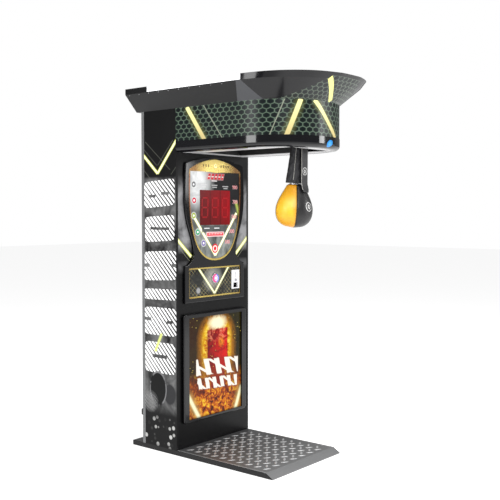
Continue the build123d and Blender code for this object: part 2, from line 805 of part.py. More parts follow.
lug_reach = 58.0
lug_half = 10.0
lug_outer = -38.0
lug_inner = -26.0
with BuildPart() as arm_hub:
    on_shaft(hub_radius, -hub_half, hub_half)
    with BuildSketch(arm_section):
        Circle(socket_radius)
    extrude(amount=socket_end)
    block(lug_outer, lug_inner, -pivot_reach - lug_reach, -pivot_reach,
          pivot_z - lug_half, pivot_z + lug_half)
    with BuildSketch(arm_section.offset(arm_start)):
        Circle(arm_radius)
    extrude(amount=socket_end, mode=Mode.SUBTRACT)
    on_shaft(shaft_radius, -hub_half, hub_half, mode=Mode.SUBTRACT)
save(arm_hub, "arm_hub")

ball_above = 133.0          # ball's top and bottom from its middle
ball_below = 127.0
ball_neck = 50.0            # radius at the top
ball_start = arm_length - ball_above
ball_end = arm_length + ball_below
ball_profile = [            # distance along the arm, radius
    (ball_start, ball_neck),
    (arm_length - 75.0, 82.0),
    (arm_length - 32.0, 102.0),
    (arm_length + 12.0, 113.5),
    (arm_length + 74.0, 104.0),
    (ball_end - 12.0, 62.0),
    (ball_end, 0.0),
]
ball_plate_thick = 6.0
ball_plate_radius = 38.0
arm_end = ball_start - ball_plate_thick

with BuildPart() as arm_tube:
    with BuildSketch(arm_section.offset(arm_start)):
        Circle(arm_radius)
        Circle(arm_radius - arm_wall, mode=Mode.SUBTRACT)
    extrude(amount=arm_end - arm_start)
    with BuildSketch(arm_section.offset(arm_end)):
        Circle(ball_plate_radius)
    extrude(amount=ball_plate_thick)
save(arm_tube, "arm_tube")

sleeve_start = 102.0
sleeve_end = arm_end - 2.0
sleeve_top = (45.0, 43.0)   # half sizes across and fore-and-aft
sleeve_bottom = (68.0, 58.0)
with BuildPart() as arm_sleeve:
    with BuildSketch(arm_section.offset(sleeve_start)):
        Ellipse(*sleeve_top)
    with BuildSketch(arm_section.offset(sleeve_end)):
        Ellipse(*sleeve_bottom)
    loft()
    with BuildSketch(arm_section.offset(sleeve_start)):
        Circle(arm_radius)
    extrude(amount=sleeve_end - sleeve_start, mode=Mode.SUBTRACT)
save(arm_sleeve, "arm_sleeve")

strap_half = 31.0
strap_thick = 4.0
strap_gap = 2.0             # strap in front of the sleeve's steepest line
strap_end = ball_start + 44.0
strap_end_radius = 79.0     # clear of the ball
strap_line = [
    (sleeve_start, -sleeve_top[1] - strap_gap),
    (sleeve_end, -sleeve_bottom[1] - strap_gap - 1.0),
    (strap_end, -strap_end_radius),
]
with BuildPart() as arm_strap:
    with BuildSketch(arm_side):
        with BuildLine():
            Polyline(
                *strap_line,
                *[(along, across - strap_thick) for along, across in reversed(strap_line)],
                close=True,
            )
        make_face()
    extrude(amount=strap_half, both=True)
save(arm_strap, "arm_strap")

with BuildPart() as punch_ball:
    with BuildSketch(arm_side):
        with BuildLine():
            Spline(*ball_profile, tangents=[(1, 0.7), (0, -1)])
            Polyline((ball_end, 0), (ball_start, 0), (ball_start, ball_neck))
        make_face()
    revolve(axis=arm_axis)
save(punch_ball, "punch_ball")

disc_radius = 48.0
disc_left = 100.0
disc_thick = 3.0
disc_slots = 16
slot_inset = 8.0
slot_length = 10.0
slot_width = 5.0
with BuildPart() as sensor_disc:
    on_shaft(disc_radius, disc_left, disc_left + disc_thick)
    on_shaft(shaft_radius, disc_left, disc_left + disc_thick, mode=Mode.SUBTRACT)
    with Locations(Plane.YZ.offset(disc_left + disc_thick / 2)):
        with Locations((pivot_y, pivot_z)):
            with PolarLocations(disc_radius - slot_inset, disc_slots):
                Box(slot_length, slot_width, disc_thick, mode=Mode.SUBTRACT)
save(sensor_disc, "sensor_disc")

fork_gap = 1.5
fork_arm = 9.0
fork_half = 8.0
fork_top = pivot_z - disc_radius + 10.0
fork_low = pivot_z - disc_radius - 12.0
fork_floor = 8.0
bar = 12.0
with BuildPart() as speed_sensor:
    block(disc_left - fork_gap - fork_arm, disc_left + disc_thick + fork_gap + fork_arm,
          -pivot_reach - fork_half, -pivot_reach + fork_half, fork_low, fork_top)
    block(disc_left - fork_gap, disc_left + disc_thick + fork_gap,
          -pivot_reach - fork_half, -pivot_reach + fork_half, fork_low + fork_floor, fork_top,
          mode=Mode.SUBTRACT)
save(speed_sensor, "speed_sensor")

# ---------------------------------------------------------------- stops and latch
swing_up = 84.0             # arm's travel from its rest stop to its upper stop
stop_gap = 0.4
stop_pad = 6.0
stop_radius = 50.0          # distance of the stops from the shaft
stop_half = 6.0
up_gap = 3.0                # lug to the upper stop's pad at the end of the travel

up = radians(swing_up)
lug_up_y = -stop_radius * cos(up)
rest_pad_low = pivot_z + lug_half + stop_gap
up_pad_front = -pivot_reach + lug_up_y + lug_half / sin(up) + up_gap
up_pad_low = pivot_z - stop_radius - stop_half

with BuildPart() as stop_pads:
    block(lug_outer, lug_inner, -pivot_reach - stop_radius - stop_half,
          -pivot_reach - stop_radius + stop_half, rest_pad_low, rest_pad_low + stop_pad)
    block(lug_outer, lug_inner, up_pad_front, up_pad_front + stop_pad, up_pad_low, up_pad_low + bar)
save(stop_pads, "stop_pads")

with BuildPart() as carrier_bars:
    block(-rail_inner, lug_inner, -pivot_reach - stop_radius - stop_half,
          -pivot_reach - stop_radius + stop_half, rest_pad_low + stop_pad, rest_pad_low + stop_pad + bar)
    block(-rail_inner, lug_inner, up_pad_front + stop_pad, up_pad_front + stop_pad + bar,
          up_pad_low, up_pad_low + bar)
    block(-rail_inner - rail_width, -rail_inner, up_pad_front + stop_pad, up_pad_front + stop_pad + bar,
          up_pad_low, rail_low)
    block(disc_left - fork_gap - fork_arm, rail_inner + rail_width,
          -pivot_reach - bar / 2, -pivot_reach + bar / 2, fork_low - bar / 2, fork_low)
    block(rail_inner, rail_inner + rail_width, -pivot_reach - bar / 2, -pivot_reach + bar / 2,
          fork_low, rail_low)
save(carrier_bars, "carrier_bars")

plunger_radius = 6.0
plunger_tip = lug_outer - 12.0
plunger_back = -170.0
plunger_gap = 1.5           # lug to the plunger with the arm up
plunger_y = -pivot_reach + lug_up_y - lug_half / sin(up) - plunger_radius - plunger_gap
plunger_z = pivot_z - stop_radius - 4.0
coil_half = 20.0
coil_end = -110.0
coil_cut = 4.0              # coil's case is lower towards the lug


def on_plunger(radius, x_low, x_high, mode=Mode.ADD):
    with Locations(Plane.YZ.offset((x_low + x_high) / 2)):
        with Locations((front + plunger_y, plunger_z)):
            Cylinder(radius, x_high - x_low, mode=mode)


with BuildPart() as latch_plunger:
    on_plunger(plunger_radius, plunger_back, plunger_tip)
save(latch_plunger, "latch_plunger")

with BuildPart() as latch_solenoid:
    block(-rail_inner, coil_end, plunger_y - coil_half, plunger_y + coil_half - coil_cut,
          plunger_z - coil_half, plunger_z + coil_half - coil_cut)
    on_plunger(plunger_radius + running, -rail_inner + coil_cut, coil_end, mode=Mode.SUBTRACT)
save(latch_solenoid, "latch_solenoid")

# ================================================================ canopy
strip_thick = 3.0
strip_gap = 2.0             # strip inside its stretch of the shell's rim
roof_sheet = 2.0
shell_half = rim_half - strip_thick
flare = (canopy_fold - canopy_bottom) / (canopy_top - canopy_bottom)
fold_reach = head_reach + (rim_reach - head_reach) * flare


def canopy_section(inset, level, half_width, straight, reach):
    """One level of the flared canopy shell, inset by a wall's thickness."""
    with BuildSketch(Plane.XY.offset(level), mode=Mode.PRIVATE) as section:
        add(nose_outline(half_width - inset, straight, reach - inset, canopy_tail))
    return section.sketch


canopy_levels = [
    (canopy_bottom, half, head_straight, head_reach),
    (canopy_fold, shell_half, rim_straight, fold_reach),
    (canopy_top, shell_half, rim_straight, rim_reach),
]

with BuildPart() as canopy_shell:
    loft([canopy_section(0, *level) for level in canopy_levels], ruled=True)
    loft([canopy_section(sheet, *level) for level in canopy_levels], ruled=True, mode=Mode.SUBTRACT)

fascia_low_y = 499.0        # fascia's front end at the canopy's bottom, ahead of the panel
fascia_fold_y = 567.0       # the same at the fold
visor_low_y = 672.0         # visor's rear edge at the canopy's bottom
visor_fold_y = 602.0        # the same at the fold
canopy_wide = rim_half + 10


def canopy_cut(points, low_side, high_side):
    """The canopy shell inside a side-view polygon, between two distances in X."""
    with BuildPart() as piece:
        add(canopy_shell.part)
        with BuildSketch(Plane.YZ.offset(low_side)):
            with BuildLine():
                Polyline(*[(front + y, z) for y, z in points], close=True)
            make_face()
        extrude(amount=high_side - low_side, mode=Mode.INTERSECT)
    return piece


fascia_side_view = [
    (canopy_tail - sheet, canopy_bottom),
    (-fascia_low_y, canopy_bottom),
    (-fascia_fold_y, canopy_fold),
    (-fascia_fold_y, canopy_top),
    (canopy_tail - sheet, canopy_top),
]
gusset_side_view = [
    (-fascia_low_y, canopy_bottom),
    (-visor_low_y, canopy_bottom),
    (-visor_fold_y, canopy_fold),
    (-visor_fold_y, canopy_top),
    (-fascia_fold_y, canopy_top),
    (-fascia_fold_y, canopy_fold),
]
visor_side_view = [
    (-visor_low_y, canopy_bottom),
    (-rim_reach - 10, canopy_bottom),
    (-rim_reach - 10, canopy_top),
    (-visor_fold_y, canopy_top),
    (-visor_fold_y, canopy_fold),
]
save(canopy_cut(fascia_side_view, -canopy_wide, canopy_wide), "side_fascias")
save(canopy_cut(gusset_side_view, -canopy_wide, canopy_wide), "canopy_gussets")
save(canopy_cut(visor_side_view, -canopy_wide, canopy_wide), "visor")

with BuildPart() as fascia_rear:
    with BuildSketch(Plane.XZ.offset(-front - canopy_tail)):
        with BuildLine():
            Polyline(
                (-half, canopy_bottom),
                (half, canopy_bottom),
                (shell_half, canopy_fold),
                (shell_half, canopy_top),
                (-shell_half, canopy_top),
                (-shell_half, canopy_fold),
                close=True,
            )
        make_face()
    extrude(amount=sheet)
    block(-half + sheet, half - sheet, cabinet_depth, canopy_tail, canopy_bottom, canopy_bottom + sheet)
save(fascia_rear, "fascia_rear")

strip_tail = 150.0
with BuildPart() as light_strips:
    for side in (-1, 1):
        edges = sorted((side * shell_half, side * rim_half))
        block(*edges, -visor_fold_y + strip_gap, strip_tail, canopy_fold + strip_gap, canopy_top - 1)
save(light_strips, "light_strips")

with BuildPart() as roof_panel:
    with BuildSketch(Plane.XY.offset(canopy_fold)):
        add(nose_outline(shell_half - sheet, rim_straight, fold_reach - sheet, canopy_tail - sheet))
    extrude(amount=roof_sheet)
save(roof_panel, "roof_panel")
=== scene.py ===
import json
from math import acos, atan2, cos, exp, hypot, pi, radians, sin

import bpy
from mathutils import Matrix, Vector


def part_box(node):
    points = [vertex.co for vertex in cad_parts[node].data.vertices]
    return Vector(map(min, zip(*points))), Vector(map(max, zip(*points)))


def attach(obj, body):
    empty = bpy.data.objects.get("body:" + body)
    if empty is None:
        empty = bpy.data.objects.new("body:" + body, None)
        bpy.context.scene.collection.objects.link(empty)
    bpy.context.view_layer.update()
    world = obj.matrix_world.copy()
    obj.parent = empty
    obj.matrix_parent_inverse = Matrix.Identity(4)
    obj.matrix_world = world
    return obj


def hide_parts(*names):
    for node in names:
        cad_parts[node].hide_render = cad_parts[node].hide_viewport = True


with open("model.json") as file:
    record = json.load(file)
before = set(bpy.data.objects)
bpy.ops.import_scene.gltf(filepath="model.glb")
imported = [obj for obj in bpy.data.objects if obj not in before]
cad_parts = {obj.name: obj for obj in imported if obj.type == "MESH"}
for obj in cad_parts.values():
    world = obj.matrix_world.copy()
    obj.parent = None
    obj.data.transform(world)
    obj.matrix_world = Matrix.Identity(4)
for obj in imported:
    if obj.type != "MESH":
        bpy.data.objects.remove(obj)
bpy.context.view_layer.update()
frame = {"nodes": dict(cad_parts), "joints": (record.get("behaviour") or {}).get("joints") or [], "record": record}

bpy.context.scene.view_settings.view_transform = "Standard"

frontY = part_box("front_panel")[0].y        # the front panel's plane
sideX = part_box("side_panels")[1].x
swing = next(joint for joint in frame["joints"] if joint["name"] == "arm_swing")
pivot = Vector(swing["pos_m"])


# small helpers

def tone(red, green, blue):
    values = []
    for part in (red, green, blue):
        share = part / 255
        values.append(share / 12.92 if share <= 0.04045 else ((share + 0.055) / 1.055) ** 2.4)
    return (*values, 1.0)


def clearSelection():
    if bpy.context.object and bpy.context.object.mode != "OBJECT":
        bpy.ops.object.mode_set(mode="OBJECT")
    bpy.ops.object.select_all(action="DESELECT")


def pick(*objects):
    clearSelection()
    for one in objects:
        one.select_set(True)
    bpy.context.view_layer.objects.active = objects[0]


def settle(piece):
    pick(piece)
    bpy.ops.object.transform_apply(location=True, rotation=True, scale=True)


def dress(piece, name, finish, body):
    piece.name = name
    piece.data.name = name
    piece.data.materials.clear()
    piece.data.materials.append(finish)
    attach(piece, body)
    return piece


def smooth(piece, angle=40):
    pick(piece)
    bpy.ops.object.shade_smooth_by_angle(angle=radians(angle))


def applyModifier(piece, kind, **settings):
    pick(piece)
    made = piece.modifiers.new(kind.lower(), kind)
    for key, value in settings.items():
        setattr(made, key, value)
    bpy.ops.object.modifier_apply(modifier=made.name)


def faceOutwards(piece):
    pick(piece)
    bpy.ops.object.mode_set(mode="EDIT")
    bpy.ops.mesh.select_all(action="SELECT")
    bpy.ops.mesh.normals_make_consistent(inside=False)
    bpy.ops.object.mode_set(mode="OBJECT")


def joinCopies(pattern, moves):
    copies = []
    for move in moves:
        copy = bpy.data.objects.new("copy", pattern.data.copy())
        copy.data.transform(move)
        bpy.context.scene.collection.objects.link(copy)
        copies.append(copy)
    bpy.data.objects.remove(pattern)
    pick(*copies)
    bpy.ops.object.join()
    return bpy.context.object


# shader expressions

class Wire:
    def __init__(self, finish, socket):
        self.finish = finish
        self.socket = socket

    def math(self, operation, *others, clamp=False):
        settings = {"operation": operation, "use_clamp": clamp}
        return self.finish.node("ShaderNodeMath", settings, [self, *others])

    def __add__(self, other):
        return self.math("ADD", other)

    def __radd__(self, other):
        return self.math("ADD", other)

    def __sub__(self, other):
        return self.math("SUBTRACT", other)

    def __rsub__(self, other):
        return self.finish.node("ShaderNodeMath", {"operation": "SUBTRACT"}, [other, self])

    def __mul__(self, other):
        return self.math("MULTIPLY", other)

    def __rmul__(self, other):
        return self.math("MULTIPLY", other)

    def __truediv__(self, other):
        return self.math("DIVIDE", other)

    def __rtruediv__(self, other):
        return self.finish.node("ShaderNodeMath", {"operation": "DIVIDE"}, [other, self])

    def __pow__(self, other):
        return self.math("POWER", other)

    def __abs__(self):
        return self.math("ABSOLUTE")

    def least(self, other):
        return self.math("MINIMUM", other)

    def most(self, other):
        return self.math("MAXIMUM", other)

    def clamped(self):
        return self.math("ADD", 0.0, clamp=True)

    def over(self, limit, edge=0.001):          # 1 above the limit, 0 below, soft over the edge
        return ((self - limit) / edge + 0.5).clamped()

    def under(self, limit, edge=0.001):
        return ((limit - self) / edge + 0.5).clamped()

    def within(self, low, high, edge=0.001):
        middle, reach = (low + high) / 2, (high - low) / 2
        return abs(self - middle).under(reach, edge)


class Finish:
    def __init__(self, name, **constants):
        self.material = bpy.data.materials.new(name)
        self.material.use_nodes = True
        self.tree = self.material.node_tree
        self.shader = self.tree.nodes["Principled BSDF"]
        for key, value in constants.items():
            self.shader.inputs[key.replace("_", " ")].default_value = value
        self.point = self.node("ShaderNodeTexCoord", output="Object")
        self.x = self.node("ShaderNodeSeparateXYZ", {}, [self.point], "X")
        self.y = self.node("ShaderNodeSeparateXYZ", {}, [self.point], "Y")
        self.z = self.node("ShaderNodeSeparateXYZ", {}, [self.point], "Z")

    def node(self, kind, settings=None, values=(), output=0):
        made = self.tree.nodes.new(kind)
        for key, value in (settings or {}).items():
            if key == "stops":
                ramp = made.color_ramp
                while len(ramp.elements) < len(value):
                    ramp.elements.new(1.0)
                for element, (place, colour) in zip(ramp.elements, value):
                    element.position = place
                    element.color = colour
            else:
                setattr(made, key, value)
        pairs = values.items() if isinstance(values, dict) else enumerate(values)
        for key, value in pairs:
            if isinstance(value, Wire):
                self.tree.links.new(value.socket, made.inputs[key])
            else:
                made.inputs[key].default_value = value
        return Wire(self, made.outputs[output])

    def feed(self, socket, wire):
        self.tree.links.new(wire.socket, self.shader.inputs[socket])

    def mix(self, mask, under, over):
        return self.node("ShaderNodeMix", {"data_type": "RGBA"}, {0: mask, 6: under, 7: over}, 2)

    def layers(self, base, *pairs):
        result = base
        for mask, colour in pairs:
            result = self.mix(mask, result, colour)
        return result

    def noise(self, scale, detail=4.0, rough=0.55, at=None, bend=0.0):
        values = {"Vector": at or self.point, "Scale": scale, "Detail": detail, "Roughness": rough,
                  "Distortion": bend}
        return self.node("ShaderNodeTexNoise", {}, values, 0)

    def cells(self, scale, at=None, feature="F1", output="Distance", randomness=1.0):
        values = {"Vector": at or self.point, "Scale": scale, "Randomness": randomness}
        return self.node("ShaderNodeTexVoronoi", {"feature": feature}, values, output)

    def ramp(self, wire, *stops):
        return self.node("ShaderNodeValToRGB", {"stops": stops}, [wire], "Color")

    def place(self, x, y, z):
        return self.node("ShaderNodeCombineXYZ", {}, [x, y, z])

    def stretch(self, scale):
        return self.node("ShaderNodeVectorMath", {"operation": "MULTIPLY"}, [self.point, scale])

    def toward(self, axis, origin=(0, 0, 0)):       # distance along an axis from an origin
        offset = self.node("ShaderNodeVectorMath", {"operation": "SUBTRACT"}, [self.point, origin])
        settings = {"operation": "DOT_PRODUCT"}
        return self.node("ShaderNodeVectorMath", settings, [offset, axis], "Value")

    def bump(self, height, strength, distance=0.001):
        values = {"Strength": strength, "Distance": distance, "Height": height}
        self.feed("Normal", self.node("ShaderNodeBump", {}, values, "Normal"))

    def printed(self, colour, grain, glow=False):   # the closing lines of a printed sheet
        self.feed("Base Color", colour)
        if glow:
            self.feed("Emission Color", colour)
        self.bump(self.noise(700.0, 2.0), grain, 0.0003)
        return self.material

    def wear(self, rough, spread):                  # roughness with faint smears
        smear = self.noise(9.0, 5.0, 0.6)
        self.feed("Roughness", (smear - 0.5) * spread + rough)


def stroke(across, up, start, end, width, edge=0.0012):
    run = hypot(end[0] - start[0], end[1] - start[1])
    runX, runZ = (end[0] - start[0]) / run, (end[1] - start[1]) / run
    along = (across - start[0]) * runX + (up - start[1]) * runZ
    off = abs((up - start[1]) * runX - (across - start[0]) * runZ)
    return off.under(width / 2, edge) * along.within(0, run, edge)


def patch(across, up, middle, size, edge=0.0012):
    reachX, reachZ = size[0] / 2, size[1] / 2
    return abs(across - middle[0]).under(reachX, edge) * abs(up - middle[1]).under(reachZ, edge)


def offCentre(across, up, middle, stretch=1.0):
    dx = across - middle[0]
    dz = (up - middle[1]) * stretch
    return (dx * dx + dz * dz) ** 0.5


def ringMark(across, up, middle, radius, line):
    return abs(offCentre(across, up, middle) - radius).under(line / 2)


# plain finishes

finishes = {}


def darker(colour, share):
    return (*(part * share for part in colour[:3]), 1)


def plainMetal(name, colour, rough, metallic, grain=420.0, bumpiness=0.06, specular=0.5):
    made = Finish(name, Metallic=metallic, Specular_IOR_Level=specular)
    shade = made.noise(6.0, 5.0, 0.6)
    made.feed("Base Color", made.mix(shade.over(0.5, 0.9) * 0.35, colour, darker(colour, 0.72)))
    made.wear(rough, 0.16)
    made.bump(made.noise(grain, 3.0), bumpiness, 0.0006)
    return made.material


def brushedMetal(name, colour, rough, axis, metallic=1.0):
    made = Finish(name, Metallic=metallic)
    stretches = {"y": (260, 3, 260), "z": (260, 260, 3)}
    streaks = made.noise(1.0, 4.0, 0.7, made.stretch(stretches[axis]))
    clouds = made.noise(5.0, 4.0)
    made.feed("Base Color", made.mix(streaks * 0.5 + clouds * 0.3, colour, darker(colour, 0.6)))
    made.feed("Roughness", streaks * 0.22 + (rough - 0.08))
    made.bump(streaks, 0.08, 0.0004)
    return made.material


def plasticFinish(name, colour, rough, grain=900.0, bumpiness=0.1):
    made = Finish(name)
    mottle = made.noise(12.0, 4.0)
    made.feed("Base Color", made.mix(mottle * 0.4, colour, darker(colour, 0.8)))
    made.wear(rough, 0.1)
    made.bump(made.noise(grain, 2.0), bumpiness, 0.0004)
    return made.material


def glossFinish(name, colour):
    made = Finish(name, Specular_IOR_Level=0.4)
    smear = made.noise(7.0, 6.0, 0.65)
    made.feed("Base Color", made.mix(smear * 0.5, colour, darker(colour, 0.6)))
    made.feed("Roughness", smear * 0.1 + 0.05)
    made.bump(made.noise(5.0, 2.0), 0.03, 0.002)
    return made.material


finishes["black_steel"] = plainMetal("blackSteel", tone(9, 9, 10), 0.42, 0.0, specular=0.3)
finishes["frame_steel"] = plainMetal("frameSteel", tone(26, 26, 27), 0.5, 0.0)
finishes["rubber"] = plasticFinish("rubber", tone(24, 24, 24), 0.85)
finishes["black_board"] = plasticFinish("blackBoard", tone(18, 18, 19), 0.5, 500.0)
finishes["lock_metal"] = brushedMetal("lockMetal", tone(200, 200, 203), 0.25, "z")
finishes["black_plastic"] = plasticFinish("blackPlastic", tone(20, 20, 21), 0.5)
finishes["screw_steel"] = plainMetal("screwSteel", tone(165, 165, 168), 0.3, 1.0)
finishes["inner_metal"] = plainMetal("innerMetal", tone(160, 162, 165), 0.38, 1.0)
finishes["gloss_black"] = glossFinish("glossBlack", tone(4, 4, 6))
finishes["white_plate"] = plasticFinish("whitePlate", tone(226, 226, 228), 0.35)
finishes["button_metal"] = brushedMetal("buttonMetal", tone(190, 190, 195), 0.22, "y")
finishes["grey_underside"] = plainMetal("greyUnderside", tone(196, 196, 198), 0.35, 0.0)
finishes["dark_liner"] = plainMetal("darkLiner", tone(15, 15, 16), 0.6, 0.0)
finishes["cast_bearing"] = plainMetal("castBearing", tone(70, 70, 72), 0.6, 0.6, 160.0, 0.3)
finishes["bright_steel"] = brushedMetal("brightSteel", tone(175, 176, 180), 0.28, "z")
finishes["satin_black"] = plainMetal("satinBlack", tone(7, 7, 9), 0.36, 0.0, specular=0.3)
finishes["grey_trim"] = brushedMetal("greyTrim", tone(128, 129, 130), 0.4, "z", 0.6)
finishes["grey_gusset"] = brushedMetal("greyGusset", tone(86, 87, 90), 0.38, "z", 0.7)


def opalStrip():
    made = Finish("opalStrip", Roughness=0.35, Emission_Strength=0.55)
    haze = made.noise(14.0, 3.0)
    made.feed("Base Color", made.mix(haze * 0.3, tone(246, 246, 248), tone(226, 228, 232)))
    made.feed("Emission Color", made.mix(haze * 0.3, tone(250, 250, 252), tone(225, 228, 235)))
    return made.material


def backlight():
    made = Finish("backlight", Roughness=0.5, Emission_Strength=0.6)
    rows = (made.z * 210.0).math("SINE")
    glow = made.mix(rows * 0.15 + 0.2, tone(250, 246, 235), tone(215, 210, 196))
    made.feed("Base Color", glow)
    made.feed("Emission Color", glow)
    return made.material


def circuitBoard():
    made = Finish("circuitBoard", Roughness=0.45)
    traces = made.cells(90.0, feature="DISTANCE_TO_EDGE", randomness=0.4)
    solder = made.cells(60.0).under(0.14, 0.05)
    made.feed("Base Color", made.layers(tone(20, 74, 42), (traces.under(0.05, 0.03), tone(44, 110, 66)),
                                        (solder, tone(180, 180, 176))))
    return made.material


goldPrint = {"crown": 1.775, "band": (1.818, 1.834), "ring": (0.0, 1.826), "ringRadius": 0.011}


def goldTrim():
    made = Finish("goldTrim", Metallic=0.85)
    low = made.z.under(1.40, 0.35)
    side = abs(made.x).over(0.19, 0.10)
    crown = made.z.over(goldPrint["crown"], 0.02)
    ends = abs(made.x).over(0.13, 0.12) * crown
    copper = made.mix(side * (1 - low * 0.6), tone(202, 178, 100), tone(112, 70, 42))
    gold = made.layers(copper, (crown, tone(196, 176, 104)), (ends, tone(112, 84, 50)))
    ticks = (made.x * 260.0).math("SINE").over(0.1, 0.4) * abs(abs(made.x) - 0.09).under(0.042, 0.004)
    band = made.z.within(*goldPrint["band"], 0.003) * ticks
    centre = ringMark(made.x, made.z, goldPrint["ring"], goldPrint["ringRadius"], 0.004)
    gold = made.layers(gold, (band * 0.85, tone(58, 46, 30)), (centre, tone(250, 240, 190)))
    made.feed("Base Color", gold)
    made.wear(0.27, 0.14)
    made.bump(made.noise(60.0, 3.0), 0.05, 0.001)
    return made.material


finishes["opal_strip"] = opalStrip()
finishes["backlight"] = backlight()
finishes["circuit_board"] = circuitBoard()
finishes["gold_trim"] = goldTrim()

treadPlate = {"colour": tone(146, 146, 147), "dark": tone(88, 88, 89), "rough": 0.4}


# lift is a painted highlight: the share of near white laid over the whole sheet; the raised bars get 0.8 so they
# read brighter than the plate
def treadFinish(name, lift):
    made = Finish(name, Metallic=0.75)
    rolled = made.noise(1.0, 5.0, 0.7, made.stretch((14, 180, 60)))
    scuffs = made.noise(11.0, 7.0, 0.7, bend=1.5)
    # painted reflection: the plate is paled towards its front edge, where the lamps glare off it
    steps = made.y.under(-0.25, 0.5) * 0.35
    colour = made.mix(rolled * 0.5 + scuffs * 0.5, treadPlate["colour"], treadPlate["dark"])
    made.feed("Base Color", made.mix(steps + lift, colour, tone(232, 233, 234)))
    made.feed("Roughness", scuffs * 0.25 + treadPlate["rough"] - 0.1)
    made.bump(rolled * 0.6 + scuffs * 0.4, 0.12, 0.0006)
    return made.material


finishes["tread_aluminium"] = treadFinish("treadAluminium", 0.0)
# the raised bars' finish: the same metal with a painted highlight
treadBarHighlightFinish = treadFinish("treadBars", 0.8)
print("plain finishes made")

# prints

yellowCore = tone(252, 252, 196)
yellowEdge = tone(190, 196, 96)


def vee(across, up, left, tip, right, width):
    core = stroke(across, up, left, tip, width * 0.62).most(stroke(across, up, tip, right, width * 0.62))
    edge = stroke(across, up, left, tip, width, 0.004).most(stroke(across, up, tip, right, width, 0.004))
    return core, edge


def honeycomb(along, up, pitch, row):
    # hexagons of one pitch along the wall and one row spacing up it; 0 in the middle, 0.5 at the edge
    gx = along / pitch + 40
    gz = up / row * 0.866 + 40
    nearest = None
    for shift in (0.0, 0.5):
        hx = (gx + shift).math("FRACT") - 0.5
        hz = ((gz + shift * 1.732) / 1.732).math("FRACT") * 1.732 - 0.866
        reach = abs(hx).most(abs(hx) * 0.5 + abs(hz) * 0.866)
        nearest = reach if nearest is None else nearest.least(reach)
    return nearest


skirtPrint = {
    "pitch": 0.046,
    "row": 0.026,
    "nose": 0.5786,        # half the nose's length round one side
    "wall": (0.35, 0.519, 0.371),
    "stripes": [((0.095, 2.166), (0.240, 1.960)), ((0.886, 2.168), (0.803, 1.960)),
                ((0.978, 2.168), (1.192, 1.960))],
    "lines": [((0.232, 2.166), (0.384, 1.960)), ((0.793, 2.168), (0.706, 1.960))],
    "width": 0.028,
}


def wallRun(made, half, straight, depth):
    # distance along the head's wall from the cabinet's front plane, round the nose to the far side
    ahead = frontY - made.y
    turn = ((ahead - straight) / depth).most(0.0).math("ARCTAN2", abs(made.x) / half) / (pi / 2)
    near = ahead.least(straight) + turn * skirtPrint["nose"]
    whole = 2 * (straight + skirtPrint["nose"])
    far = made.x.over(0.0, 0.0001)
    return near * (1 - far) + (whole - near) * far


def meshGround(made, along, up, size, dark, line):
    cell = honeycomb(along, up, *size)
    web = cell.over(0.425, 0.03)
    light = made.noise(3.2, 3.0)
    wire = made.mix(light, tone(48, 62, 54), line)
    ground = made.mix(cell.over(0.2, 0.5), dark, tone(16, 26, 26))
    return made.mix(web, ground, wire), web


def skirtFinish():
    made = Finish("printedSkirt", Specular_IOR_Level=0.2)
    run = wallRun(made, *skirtPrint["wall"])
    up = made.z
    cell = (skirtPrint["pitch"], skirtPrint["row"])
    colour, web = meshGround(made, run, up, cell, tone(4, 8, 9), tone(104, 122, 104))
    for start, end in skirtPrint["lines"]:
        colour = made.mix(stroke(run, up, start, end, 0.006), colour, tone(126, 132, 116))
    for start, end in skirtPrint["stripes"]:
        warm = made.mix(up.under(2.06, 0.15), tone(236, 232, 160), tone(196, 180, 124))
        halo = stroke(run, up, start, end, skirtPrint["width"] + 0.03, 0.03) * 0.35
        colour = made.mix(halo, colour, tone(120, 124, 70))
        colour = made.mix(stroke(run, up, start, end, skirtPrint["width"], 0.003), colour, warm)
    made.feed("Base Color", colour)
    made.wear(0.3, 0.08)
    made.bump(web, 0.04, 0.0004)
    return made.material


visorPrint = {"wall": (0.42, 0.56, 0.43), "cell": (0.034, 0.019), "slope": 0.786, "rise": 2.169,
              "top": 2.287, "corner": 0.291,
              "stripe": ((-0.148, 2.2765), (0.018, 2.169)), "width": 0.021}


def visorFinish():
    made = Finish("printedVisor", Specular_IOR_Level=0.35)
    run = wallRun(made, *visorPrint["wall"])
    up = made.z
    ground, _ = meshGround(made, run, up, visorPrint["cell"], tone(8, 10, 11), tone(112, 120, 106))
    slope = up + (abs(made.x) - visorPrint["corner"]) * visorPrint["slope"]
    printed = slope.under(visorPrint["rise"], 0.002) * up.under(visorPrint["top"], 0.002)
    stripe = stroke(made.x, up, *visorPrint["stripe"], visorPrint["width"], 0.003)
    colour = made.mix(stripe, ground, tone(232, 230, 140))
    made.feed("Base Color", made.mix(printed, tone(9, 9, 12), colour))
    smear = made.noise(7.0, 6.0, 0.65)
    made.feed("Roughness", smear * 0.1 + 0.06 + printed * 0.2)
    made.bump(made.noise(5.0, 2.0), 0.03, 0.002)
    return made.material


